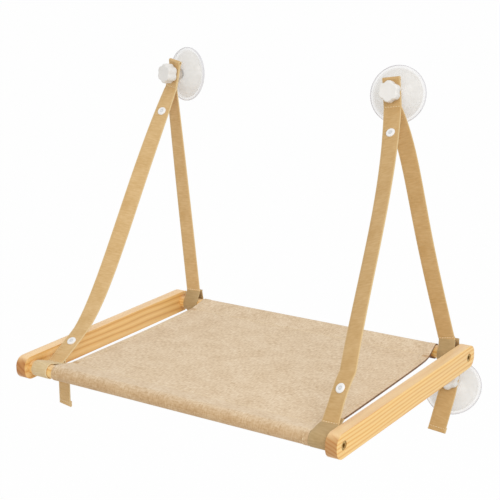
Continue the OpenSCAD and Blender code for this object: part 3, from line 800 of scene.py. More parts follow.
@dataclass(frozen=True)
class Strap:
    """One webbing strap, from its front loop over the upper cup to the lower cup."""

    side: Side
    high: CupPlace
    low: CupPlace
    front_x: float
    rear_x: float
    loop_rise: float
    first_rise: float
    low_snap_at: float
    high_snap_at: float
    end_turn: float
    sag: float = 0.0
    slack: float = 0.0
    bow: float = 0.0
    rear_bow: float = 0.0
    tape: Tape = Tape()
    front_y: float = -346.0
    rear_y: float = -26.0
    dowel_r: float = 8.5
    loop_gap: float = 0.35
    loop_reach: float = 22.0
    rear_reach: float = 19.0
    rear_rise: float = 75.0
    loop_tail: float = 22.0
    stitch_drop: float = 20.0
    fold_rise: float = 20.0
    fold_r: float = 2.6
    twist: float = 25.0
    patch_half: float = 16.0
    neck_bend: float = 3.0
    sew_allowance: float = 3.0
    layer_pitch: float = 1.02
    wrap_spread: float = 1.06
    flap: float = 3.0
    flap_lean: float = 0.0
    rear_slip: float = 3.0
    sag_skew: int = 3
    bow_skew: int = 2
    rear_bow_skew: int = 4

    @property
    def way(self) -> int:
        """-1 on the left and 1 on the right."""
        return self.side.value

    def slope(self, degrees: float) -> Vector:
        """An upward direction in the YZ plane."""
        a = math.radians(degrees)
        return Vector((0, math.cos(a), math.sin(a)))

    def stitch_end(self, layer: int) -> Vector:
        """Where a leg leaves the top stitch; layer is -1 for the rear leg and 1 for the front one."""
        return (self.high.pivot - self.stitch_drop * self.high.webbing_up
                + layer * self.tape.thick / 2 * self.high.axis)

    @property
    def front_axis(self) -> Vector:
        """The front dowel's axis at this strap."""
        return Vector((self.front_x, self.front_y, 0))

    @property
    def rear_axis(self) -> Vector:
        """The rear dowel's axis at this strap."""
        return Vector((self.rear_x, self.rear_y, 0))

    @property
    def front_hem(self) -> Vector:
        """Where the two layers of the front loop meet."""
        return self.front_axis + self.loop_reach * self.slope(self.loop_rise)

    @property
    def low_snap(self) -> Vector:
        """The lower press stud's place, in the middle of the webbing."""
        return self.front_hem + (self.low_snap_at - self.loop_reach) * self.slope(self.first_rise)

    @staticmethod
    def skewed(near: float, power: int) -> float:
        """A bow of height 1 between 0 and 1, highest near 1."""
        return (power + 1) ** (power + 1) / power ** power * near ** power * (1 - near)

    @property
    def rise_above(self) -> float:
        """Slope of the webbing just above the lower press stud.

        Returns:
            The slope in degrees.
        """
        span = self.stitch_end(1) - self.low_snap
        flatter = (self.sag_skew + 1) ** (self.sag_skew + 1) / self.sag_skew ** self.sag_skew * self.sag
        return math.degrees(math.atan2(span.z - flatter, span.y))

    @property
    def low_snap_run(self) -> Vector:
        """The webbing's upward direction at the lower press stud."""
        return self.slope((self.first_rise + self.rise_above) / 2)

    @property
    def leg_end(self) -> Vector:
        """Where the front leg meets its loop."""
        return self.low_snap + self.loop_tail * self.slope(self.rise_above)

    def leg_point(self, at: float) -> Vector:
        """A point of the front leg.

        Args:
            at: Place along the leg, from its top stitch at 0 to its loop at 1.

        Returns:
            The point.
        """
        foot = self.skewed(at, self.sag_skew) * Vector((0, 0, -self.sag))
        top = self.skewed(1 - at, self.bow_skew) * Vector((self.bow, 0, -self.slack))
        return self.stitch_end(1).lerp(self.leg_end, at) + foot + top

    @staticmethod
    def turned(degrees: float) -> Vector:
        """A level width direction, turned about the vertical."""
        a = math.radians(degrees)
        return Vector((math.cos(a), math.sin(a), 0))

    def leg_hint(self, at: float) -> Vector:
        """The front leg's width direction at a point.

        Args:
            at: Place along the leg, from its top stitch at 0 to its loop at 1.

        Returns:
            The direction.
        """
        start, end = (1 - at) ** 5, at ** 5
        inward = self.twist * (1 - end) + self.end_turn * end
        return self.turned(-self.way * inward).lerp(self.high.webbing_across, start).normalized()

    def high_snap(self) -> tuple[Vector, Vector, Vector]:
        """Where the upper press stud sits.

        Returns:
            Its place, the webbing's downward run there and its width direction.
        """
        length = (self.leg_end - self.stitch_end(1)).length
        at = self.high_snap_at / length
        run = (self.leg_point(at + 0.02) - self.leg_point(at - 0.02)).normalized()
        return self.leg_point(at), run, self.leg_hint(at)

    def teardrop(self, axis: Vector, rise: float, reach: float) -> list[Vector]:
        """Middle line of a sewn loop round a dowel, from its hem over the top and back under to the hem.

        Args:
            axis: The dowel's axis at the loop.
            rise: Upward slope of the hem, seen from the axis.
            reach: Distance of the hem from the axis.

        Returns:
            The line's points.
        """
        r = self.dowel_r + self.loop_gap + self.tape.thick / 2
        half = math.acos(r / reach)
        hem = axis + reach * self.slope(rise)
        steps = 36
        base = math.radians(rise)
        sweep = [base + half + (math.tau - 2 * half) * k / steps for k in range(steps + 1)]
        return [hem] + [axis + r * Vector((0, math.cos(a), math.sin(a))) for a in sweep] + [hem]

    def build_front_loop(self, finishes: Finishes) -> bpy.types.Object:
        """Sew the loop round the front dowel and the webbing up past the lower press stud.

        Args:
            finishes: The materials.

        Returns:
            The piece.
        """
        maker = Maker(f"{self.side.label}_front_loop_webbing")
        drop = self.teardrop(self.front_axis, self.loop_rise, self.loop_reach)
        hem, run = drop[0], self.low_snap_run
        flat, untwist, left_over, widens = 9.0, 24.0, 0.4, 6.0
        up_run = (self.low_snap - flat * run - hem).normalized()
        out = Vector((0, -up_run.z, up_run.y))
        tucked = hem - self.layer_pitch * self.tape.thick * out
        corners = [self.leg_end, self.low_snap + flat * run, self.low_snap - flat * run, hem]
        above = spaced(rounded(corners, 8.0), 2.5)
        leaned = math.degrees(math.atan2(up_run.z, up_run.y)) - self.flap_lean
        line = above + drop[1:-2] + [tucked, tucked + self.flap * self.slope(leaned)]
        path = spaced(rounded(line, 3.0), 2.0)
        along = lengths(path)
        sewn = lengths(above)[-1]
        ring = sewn + (drop[1] - hem).length
        hints = []
        for far in along:
            share = min(1.0, left_over + (1 - left_over) * max(0.0, sewn - far) / untwist)
            share *= min(1.0, max(0.0, (ring - far) / (ring - sewn)))
            hints.append(self.turned(-self.way * self.end_turn * share))
        self.tape.sweep(maker, path, hints, -self.slope(self.rise_above), None,
                        lambda row: int(along[row] > sewn),
                        lambda far: 1 + (self.wrap_spread - 1) * min(1.0, max(0.0, (far - sewn) / widens)))
        skew = self.turned(-self.way * self.end_turn * left_over)
        across = (skew - skew.dot(up_run) * up_run).normalized()
        face = hem + up_run + (self.tape.thick / 2 + 0.2) * out
        self.tape.seam(maker, face, across, across.cross(up_run), 2)
        piece = maker.make([finishes.tape[self.side], finishes.wrap_tape_light_and_shade[self.side], finishes.thread])
        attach(piece, "frame")
        return dress(piece, "webbing", f"{self.side.label}_front_loop")

    def build_front_leg(self, finishes: Finishes) -> bpy.types.Object:
        """Lay the long front stretch in one fixed shape; the real one slackens as the frame folds up.

        Args:
            finishes: The materials.

        Returns:
            The piece.
        """
        maker = Maker(f"{self.side.label}_front_leg_webbing")
        steps = 110
        stops = [k / steps for k in range(steps + 1)]
        path = [self.leg_point(at) for at in stops]
        self.tape.sweep(maker, path, [self.leg_hint(at) for at in stops], -self.high.webbing_up,
                        -self.slope(self.rise_above))
        piece = maker.make([finishes.tape[self.side]])
        metres(self.leg_point(0.3))
        metres(self.leg_end)
        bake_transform(piece)
        return dress(piece, "webbing", f"{self.side.label}_front_leg")

    def build_top_fold(self, finishes: Finishes) -> bpy.types.Object:
        """Fold the webbing over itself under the upper knob and sew it below.

        Args:
            finishes: The materials.

        Returns:
            The piece.
        """
        maker = Maker(f"{self.side.label}_top_fold_webbing")
        t, base, roll = self.tape.thick, self.high.strap_base, self.fold_r - self.tape.thick / 2
        top = self.fold_rise - self.fold_r
        middle = base + t
        flat = [(-self.stitch_drop, base + t / 2), (top - 2.2 * roll, base + t / 2)]
        turn = [(top - roll * math.cos(a), middle - roll * math.sin(a))
                for a in (math.radians(60 + 240 * k / 14) for k in range(15))]
        rest = [(top - 2.2 * roll, base + 1.5 * t), (-self.stitch_drop, base + 1.5 * t)]
        line = spaced([Vector((0, y, z)) for y, z in flat + turn + rest], 2.5)
        place = self.high.webbing_matrix
        path = [place @ p for p in line]
        self.tape.sweep(maker, path, [self.high.webbing_across] * len(path))
        face = place @ Vector((0, -self.stitch_drop + 1.6, base + 2 * t))
        self.tape.seam(maker, face, self.high.webbing_across, self.high.axis, 1)
        piece = maker.make([finishes.tape[self.side], finishes.thread])
        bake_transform(piece)
        return dress(piece, "webbing", f"{self.side.label}_top_fold")

    def build_rear_leg(self, finishes: Finishes) -> bpy.types.Object:
        """Lay the rear stretch and its loop round the rear dowel.

        Args:
            finishes: The materials.

        Returns:
            The piece.
        """
        maker = Maker(f"{self.side.label}_rear_leg_webbing")
        drop = self.teardrop(self.rear_axis, self.rear_rise, self.rear_reach)
        top, hem = self.stitch_end(-1), drop[0]
        slip_from, slip_over, seam_rise = 3.0, 18.0, 1.5
        steps = 60
        above = []
        for k in range(steps + 1):
            at = k / steps
            bow = self.rear_bow * self.skewed(1 - at, self.rear_bow_skew)
            above.append(top.lerp(hem, at) + bow * X_AXIS)
        lift = self.slope(self.rear_rise)
        tucked = hem - self.layer_pitch * self.tape.thick * X_AXIS.cross(lift)
        path = spaced(rounded(above + drop[1:-2] + [tucked, tucked + self.sew_allowance * lift], 4.0), 2.0)
        along = lengths(path)
        sewn = lengths(above)[-1]
        hints = [X_AXIS.lerp(self.high.webbing_across, max(0.0, 1 - far / sewn) ** 2) for far in along]

        def slip(far: float) -> Vector:
            """How far the webbing has slipped sideways."""
            return self.rear_slip * min(1.0, max(0.0, (far - sewn + slip_from) / slip_over)) * X_AXIS

        self.tape.sweep(maker, path, hints, -self.high.webbing_up, None,
                        lambda row: int(along[row] > sewn), slip=slip)
        sewn_at = min(range(len(path)), key=lambda i: abs(along[i] - sewn + seam_rise))
        run = (path[sewn_at - 1] - path[sewn_at + 1]).normalized()
        across = (X_AXIS - X_AXIS.dot(run) * run).normalized()
        out = across.cross(run)
        face = path[sewn_at] + slip(along[sewn_at]) + (self.tape.thick / 2 + 0.15) * out
        self.tape.seam(maker, face, across, out, 2)
        # Both rear loops take the darker right-hand wrap colour: painted shade
        piece = maker.make([finishes.tape[self.side], finishes.wrap_tape_light_and_shade[Side.RIGHT], finishes.thread])
        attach(piece, "hanger")
        return dress(piece, "webbing", f"{self.side.label}_rear_leg")

    def build_lower_strap(self, finishes: Finishes) -> bpy.types.Object:
        """Lay the webbing from the rear loop under the lower knob to its hemmed end.

        Args:
            finishes: The materials.

        Returns:
            The piece.
        """
        maker = Maker(f"{self.side.label}_lower_webbing")
        low = self.low
        r = self.dowel_r + self.loop_gap + self.tape.thick / 2
        patch_top = low.pivot + self.patch_half * low.up
        patch_foot = low.pivot - self.patch_half * low.up
        neck_rise = Vector((0, self.rear_y - low.pivot.y, -low.pivot.z)).normalized()
        start = self.rear_axis - r * neck_rise
        bend = patch_top + self.neck_bend * (low.up + low.axis)
        inward, forward, hang = 2.0, 32.0, 59.0
        hem = low.pivot - Vector((self.way * inward, forward, hang))
        path = spaced(rounded([start, bend, patch_top, patch_foot, hem], 7.0), 2.5)
        along = lengths(path)
        hints = [X_AXIS.lerp(low.across, min(1.0, far / (bend - start).length)) for far in along]
        self.tape.sweep(maker, path, hints, -neck_rise)
        run = (hem - patch_foot).normalized()
        across = (low.across - low.across.dot(run) * run).normalized()
        out = run.cross(across)
        self.build_hem(maker, hem, run, across, out)
        piece = maker.make([finishes.tape[self.side], finishes.thread])
        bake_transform(piece)
        return dress(piece, "webbing", f"{self.side.label}_lower_strap")

    def build_hem(self, maker: Maker, end: Vector, run: Vector, across: Vector, out: Vector) -> None:
        """Turn a free end back on itself and sew it across.

        Args:
            maker: The piece that gets the hem.
            end: The free end, in the middle of the webbing.
            run: The webbing's direction towards its end.
            across: Width direction.
            out: Normal of the front face.
        """
        t, turned, sewn = self.tape.thick, 7.0, 4.8
        fold = [end - turned * run - t * out, end - 0.6 * t * run - t * out]
        fold += [end + 0.2 * t * run - 0.5 * t * out, end - 0.4 * t * run]
        path = spaced(rounded(fold, 1.2), 2.0)
        self.tape.sweep(maker, path, [across] * len(path), spread=lambda far: 1.04)
        self.tape.seam(maker, end - sewn * run + (t / 2 + 0.1) * out, across, out, 1)

    def build_tail(self, finishes: Finishes) -> bpy.types.Object:
        """Hang the free hemmed end behind the front dowel.

        Args:
            finishes: The materials.

        Returns:
            The piece.
        """
        maker = Maker(f"{self.side.label}_front_tail_webbing")
        seat, under, turn, turned_by = 17.0, 8.0, -12.0, 24.0
        forward, hang = 1.5, 71.0
        start = self.front_hem + seat * self.slope(self.first_rise) - 0.5 * self.tape.thick * UP
        hem = start - Vector((0, forward, hang))
        tucked = self.front_hem + under * self.slope(self.first_rise) - 0.5 * self.tape.thick * UP
        path = spaced(rounded([tucked, tucked - 4 * UP, start - turned_by * UP, hem], 8.0), 2.0)
        hints = [self.turned(turn * min(1.0, far / turned_by)) for far in lengths(path)]
        self.tape.sweep(maker, path, hints)
        end_run = (path[-1] - path[-2]).normalized()
        across = (hints[-1] - hints[-1].dot(end_run) * end_run).normalized()
        self.build_hem(maker, hem, end_run, across, end_run.cross(across))
        piece = maker.make([finishes.tape[self.side], finishes.thread])
        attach(piece, "frame")
        return dress(piece, "webbing", f"{self.side.label}_front_tail")


# Press studs, cups and knobs


@dataclass(frozen=True)
class PressStud:
    """A snap fastener: a dished cap on the webbing's face and a socket behind it."""

    cap_d: float = 12.5
    cap_t: float = 1.8
    dish_d: float = 5.4
    post_d: float = 4.2
    socket_d: float = 10.0
    socket_t: float = 2.0

    def build(self, name: str, node: str, body: str, place: Matrix, finishes: Finishes) -> bpy.types.Object:
        """Turn the stud and set it on the webbing.

        Args:
            name: The piece's name.
            node: The CAD node that it replaces.
            body: The body that it rides on.
            place: Stud space, with Z out of the webbing's face.
            finishes: The materials.

        Returns:
            The stud.
        """
        face, cap, dish = Tape.thick / 2, self.cap_d / 2, self.dish_d / 2
        post, socket = self.post_d / 2, self.socket_d / 2
        top = face + self.cap_t
        profile = [
            (0.01, top - 0.3), (0.7, top - 0.3), (1.0, top - 0.6), (1.6, top - 0.7),
            (dish - 0.5, top - 0.6), (dish, top - 0.12), (dish + 0.35, top), (cap - 1.3, top - 0.05),
            (cap - 0.5, top - 0.4),
            (cap - 0.08, top - 1.0), (cap, face + 0.3), (cap - 0.2, face - 0.05), (post, face - 0.05),
            (post, -face), (socket, -face), (socket, -face - 0.6 * self.socket_t),
            (socket - 0.8, -face - self.socket_t), (0.01, -face - self.socket_t)]
        # The dish's ring takes slot 1, grey: painted shade in its hollow
        slots = [0] + [1] * 4 + [0] * (len(profile) - 6)
        maker = Maker(name)
        lathe(maker, profile, place, slots, 48)
        piece = maker.make([finishes.snap, finishes.snap_dish_painted_shade])
        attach(piece, body)
        return dress(piece, "snap_plastic", node)


@dataclass(frozen=True)
class SuctionCup:
    """A clear suction cup with a flat lip, a domed back and a boss."""

    rim_d: float = 76.0
    dome_h: float = 22.0
    hollow_h: float = 7.0
    lip_w: float = 5.0
    lip_t: float = 3.0
    dome_inset: float = 3.8
    thick_to: float = 13.0
    boss_d: float = 19.0

    @staticmethod
    def cap_height(r: float, rim: float, rise: float) -> float:
        """Height of a cap of a sphere at a radius."""
        ball = (rim * rim + rise * rise) / (2 * rise)
        return math.sqrt(ball * ball - r * r) - (ball - rise)

    def profile(self) -> tuple[list[tuple[float, float]], list[int]]:
        """The cup's shape from the boss over the rim to the hollow's crown.

        Returns:
            Radius and height of each ring, and the material slot of each band between two rings.
        """
        rim, boss = self.rim_d / 2, self.boss_d / 2
        dome_rim, hollow_rim = rim - self.dome_inset, rim - self.lip_w
        top = CupPlace.cup_height
        rings = [(0.01, top), (boss - 0.8, top), (boss - 0.2, top - 0.3), (boss, top - 1.0)]
        steps = 22
        for k in range(steps + 1):
            r = boss + (dome_rim - boss) * (1 - (1 - k / steps) ** 1.3)
            rings.append((r, self.lip_t + self.cap_height(r, dome_rim, self.dome_h - self.lip_t)))
        slots = [3 if r < self.thick_to else 0 for r, _ in rings[1:]]
        rings += [(dome_rim + 0.3, self.lip_t), (rim - 0.9, self.lip_t)]
        slots += [1, 1]
        rings += [(rim - 0.25, self.lip_t - 0.15), (rim, self.lip_t - 0.7)]
        rings += [(rim, 0.6), (rim - 0.2, 0.1), (rim - 0.8, 0)]
        # The rim's outer bands take slot 2: the grey edge, a painted dark reflection
        slots += [2] * 5
        rings.append((hollow_rim, 0))
        slots.append(1)
        for k in range(1, steps + 1):
            r = max(0.01, hollow_rim * (1 - k / steps))
            rings.append((r, self.cap_height(r, hollow_rim, self.hollow_h)))
            slots.append(0)
        return rings, slots

    def build(self, place: CupPlace, finishes: Finishes) -> bpy.types.Object:
        """Turn one cup.

        Args:
            place: The cup's place.
            finishes: The materials.

        Returns:
            The piece.
        """
        maker = Maker(f"{place.name}_cup_vinyl")
        rings, slots = self.profile()
        lathe(maker, rings, place.matrix, slots)
        vinyls = [finishes.vinyl, finishes.vinyl_lip, finishes.vinyl_rim_painted_reflection, finishes.vinyl_boss]
        piece = maker.make(vinyls, 50)
        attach(piece, place.body)
        return dress(piece, "clear_vinyl", f"{place.name}_cup")


@dataclass(frozen=True)
class Knob:
    """A moulded clamping knob with shallow flutes between its lobes."""

    across: float = 28.0
    height: float = 17.0
    lobes: int = 6
    flute: float = 1.9
    steps: int = 144

    def ring(self, scale: float, z: float, fluting: float) -> list[Vector]:
        """One ring of the knob's side.

        Args:
            scale: Share of the knob's full radius.
            z: Height of the ring.
            fluting: Share of the flutes' full depth.

        Returns:
            The ring's points.
        """
        made = []
        for k in range(self.steps):
            a = math.tau * k / self.steps
            wave = (0.5 + 0.5 * math.cos(self.lobes * a)) ** 1.6
            r = self.across / 2 * scale - self.flute * fluting * wave
            made.append(Vector((r * math.cos(a), r * math.sin(a), z)))
        return made

    def build(self, place: CupPlace, finishes: Finishes) -> bpy.types.Object:
        """Loft one knob on the webbing that its cup clamps.

        Args:
            place: The cup's place.
            finishes: The materials.

        Returns:
            The piece.
        """
        h = self.height
        rings = [
            (0.35, 0.0, 0.0), (0.62, 0.0, 0.1), (0.63, 1.9, 0.1), (0.88, 2.2, 0.9), (0.97, 2.7, 1.0),
            (1.0, 4.0, 1.0), (1.0, h - 4.0, 1.0), (0.985, h - 2.0, 1.0), (0.95, h - 0.9, 0.95),
            (0.9, h - 0.3, 0.85), (0.83, h - 0.02, 0.7), (0.78, h, 0.6), (0.62, h - 0.25, 0.35),
            (0.3, h - 0.45, 0.1), (0.01, h - 0.5, 0.0)]
        seat = place.strap_base + place.layers * Tape.thick + CupPlace.seat_gap
        space = place.matrix @ Matrix.Translation((0, 0, seat))
        maker = Maker(f"{place.name}_knob_shell")
        maker.grid([[space @ p for p in self.ring(*row)] for row in rings])
        piece = maker.make([finishes.knob], 60)
        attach(piece, f"{place.name}_grip")
        return dress(piece, "knob_plastic", f"{place.name}_knob")


# Frame and sling


@dataclass(frozen=True)
class PineFrame:
    """The two rails and two dowels with their screws."""

    ease: float = 1.6

    def build_rail(self, side: Side, finishes: Finishes) -> bpy.types.Object:
        """Ease the arrises of one rail.

        Args:
            side: Which rail.
            finishes: The materials.

        Returns:
            The rail.
        """
        node = f"{side.label}_rail"
        mesh = bpy.data.meshes.new(f"{node}_pine")
        work = bmesh.new()
        work.from_mesh(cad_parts[node].data)
        bmesh.ops.remove_doubles(work, verts=work.verts, dist=0.01 * MM)
        bmesh.ops.dissolve_limit(work, angle_limit=math.radians(1), verts=work.verts, edges=work.edges)
        sharp = [e for e in work.edges if len(e.link_faces) == 2 and e.calc_face_angle() > math.radians(40)]
        bmesh.ops.bevel(work, geom=sharp, offset=self.ease * MM, segments=3, profile=0.5, affect="EDGES",
                        clamp_overlap=True)
        work.to_mesh(mesh)
        work.free()
        mesh.shade_smooth()
        mesh.set_sharp_from_angle(angle=math.radians(35))
        mesh.materials.append(finishes.rail_pine[side])
        piece = bpy.data.objects.new(f"{node}_pine", mesh)
        bpy.context.scene.collection.objects.link(piece)
        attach(piece, "frame")
        return dress(piece, "pine", node)

    def dress_solids(self, finishes: Finishes) -> None:
        """Give the CAD solids that stay their materials.

        Args:
            finishes: The materials.
        """
        kept = {
            finishes.dowel_pine: ["front_dowel", "rear_dowel"],
            finishes.brass: ["frame_screws", "dowel_inserts"],
            finishes.steel: [],
        }
        for place in CUPS:
            kept[finishes.steel].append(f"{place.name}_stud")
            kept[finishes.brass].append(f"{place.name}_knob_insert")
        for material, nodes in kept.items():
            for node in nodes:
                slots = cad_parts[node].data.materials
                slots.clear()
                slots.append(material)
                LOG.info("dressed %s", node)


@dataclass(frozen=True)
class Sling:
    """The linen sheet with a sewn sleeve round each dowel and hemmed side edges."""

    width: float = 384.3
    front_end: float = 199.3
    rear_end: float = 192.5
    flare: float = 7.5
    flare_from: float = -327.8
    flare_to: float = -44.0
    flare_power: int = 12
    thick: float = 0.9
    front_y: float = -346.0
    rear_y: float = -26.0
    sleeve_r: float = 8.85
    reach: float = 30.0
    rise: float = 3.4
    sag: float = 1.0
    hem: float = 9.0
    hem_puff: float = 0.35
    seam_inset: float = 7.0
    seam_dip: float = 0.3
    seam_half: float = 0.4
    layer_pitch: float = 1.1
    allowance: float = 6.0
    wrinkles: tuple[tuple[float, float, float, float], ...] = ((95, 260, 3.1, 0.8), (42, 150, 7.7, 0.4))

    @property
    def left_end(self) -> float:
        """The sheet's left edge."""
        return self.front_end - self.width

    def right_end(self, y: float) -> float:
        """The sheet's right edge, which flares out between the strap loops.

        Args:
            y: Place along the sheet.

        Returns:
            The edge's sideways place.
        """
        s = min(1.0, max(0.0, (y - self.flare_from) / (self.flare_to - self.flare_from)))
        bulge = self.flare * (1 - (2 * s - 1) ** self.flare_power)
        return self.front_end + s * (self.rear_end - self.front_end) + bulge

    def sleeve(self) -> tuple[list[tuple[float, float]], tuple[float, float]]:
        """Middle line of the front sleeve, from its sewn end under the hem to the hem, and the hem.

        Returns:
            Points as distance behind the dowel axis and height, and the hem's point.
        """
        r = self.sleeve_r + self.thick / 2
        rise = math.asin(self.rise / self.reach)
        half = math.acos(r / self.reach)
        hem = (self.reach * math.cos(rise), self.reach * math.sin(rise))
        steps = 30
        sweep = [rise - half - (math.tau - 2 * half) * k / steps for k in range(steps + 1)]
        below = hem[1] - self.layer_pitch * self.thick
        line = [(hem[0] + self.allowance, below), (hem[0], below)]
        line += [(r * math.cos(a), r * math.sin(a)) for a in sweep]
        return line, hem

    def line(self) -> tuple[list[Vector], list[float]]:
        """Middle line of the whole sheet from front to rear.

        Returns:
            The points, and how far along the open span each one is.
        """
        start, hem = self.sleeve()
        front = [Vector((0, self.front_y + y, z)) for y, z in start]
        rear = [Vector((0, self.rear_y - y, z)) for y, z in reversed(start)]
        low, high = self.front_y + hem[0], self.rear_y - hem[0]
        steps = 48
        sheet = []
        for k in range(steps + 1):
            s = k / steps
            sheet.append(Vector((0, low + (high - low) * s, hem[1] - 4 * self.sag * s * (1 - s))))
        front, rear = spaced(front, 3.0), spaced(rear, 3.0)
        path = front + sheet + rear
        shares = [0.0] * len(front) + [k / steps for k in range(steps + 1)] + [0.0] * len(rear)
        return path, shares

    def columns(self) -> list[float]:
        """Places across the sheet, closer at the hems.

        Returns:
            The places, from 1 to -1.
        """
        half = self.width / 2
        beside = 2 * self.seam_half
        edge = [0, 0.5, 1.2, 3.5, self.seam_inset - beside, self.seam_inset, self.seam_inset + beside]
        edge += [self.hem - 0.4, self.hem, self.hem + 0.5]
        inner = [half - e for e in edge]
        steps = 30
        last = inner[-1]
        middle = [last * (1 - 2 * k / steps) for k in range(1, steps)]
        row = inner + middle + [-u for u in reversed(inner)]
        return [u / half for u in row]

    def ripple(self, x: float, y: float, share: float) -> float:
        """Height of the cloth's soft wrinkles, which fade at the sleeves.

        Each kind of wrinkle has a width, a length, a place in the noise and a depth.

        Args:
            x: Sideways place.
            y: Place along the sheet.
            share: Place on the open span, from 0 to 1.

        Returns:
            The height in millimetres.
        """
        fade = min(1.0, 5 * share * (1 - share))
        height = 0.0
        for wide, long, seed, depth in self.wrinkles:
            height += depth * noise.noise(Vector((x / wide, y / long, seed)))
        return fade * height

    def build(self, finishes: Finishes) -> bpy.types.Object:
        """Make the sheet as a thin closed form with folded side hems and their stitching.

        Args:
            finishes: The materials.

        Returns:
            The piece.
        """
        maker = Maker("sling_linen")
        path, shares = self.line()
        runs = Tape.runs(path, None, None)
        along = lengths(path)
        columns = self.columns()
        rows, weave = [], []
        for p, run, share, far in zip(path, runs, shares, along):
            out = Vector((0, -run.z, run.y))
            half = (self.right_end(p.y) - self.left_end) / 2
            upper, lower = [], []
            for u in columns:
                x = self.left_end + (1 + u) * half
                inset = half * (1 - abs(u))
                lift = self.ripple(x, p.y, share)
                puff = self.hem_puff if inset < self.hem else 0.0
                seam = self.seam_dip if abs(inset - self.seam_inset) < self.seam_half else 0.0
                middle = Vector((x, p.y, p.z)) + lift * UP
                upper.append(middle + (self.thick / 2 + puff - seam) * out)
                lower.append(middle - (self.thick / 2 + 4 * puff) * out)
            rows.append(upper + lower[::-1])
            weave.append([(u * half, far) for u in columns] + [(u * half, far) for u in columns[::-1]])
        # The side faces take the turned-edge linen: painted shade along the hems
        sides = (len(columns) - 1, 2 * len(columns) - 1)
        maker.grid(rows, weave, lambda row, column: 2 if column in sides else 0)
        self.sew(maker, path, runs, shares, along)
        piece = maker.make([finishes.linen, finishes.thread, finishes.linen_edge_painted_shade], 60)
        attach(piece, "frame")
        return dress(piece, "linen", "sling")

    def sew(self, maker: Maker, path: Sequence[Vector], runs: Sequence[Vector], shares: Sequence[float],
            along: Sequence[float]) -> None:
        """Sew the side hems and the two sleeve seams.

        Args:
            maker: The piece that gets the thread.
            path: Middle line of the sheet.
            runs: The line's direction at each point.
            shares: Place of each point on the open span.
            along: Distance along the sheet at each point.
        """
        step, stitch, radius, end_gap = 4.2, 3.2, 0.4, 16.0
        rows = []
        for way in (-1, 1):
            due = 0.0
            for p, run, share, far in zip(path, runs, shares, along):
                if far < due:
                    continue
                due = far + step
                out = Vector((0, -run.z, run.y))
                x = self.right_end(p.y) - self.seam_inset if way > 0 else self.left_end + self.seam_inset
                middle = Vector((x, p.y, p.z + self.ripple(x, p.y, share))) + (self.thick / 2 + 0.15) * out
                rows.append((middle, run, out))
        _, hem = self.sleeve()
        for y in (self.front_y + hem[0], self.rear_y - hem[0]):
            count = int((self.width - end_gap) / step)
            for k in range(count):
                x = (self.left_end + self.front_end) / 2 + (k + 0.5 - count / 2) * step
                rows.append((Vector((x, y, hem[1] + self.thick / 2)), X_AXIS, UP))
        maker.stitches(rows, stitch, radius, 1)


# Studio


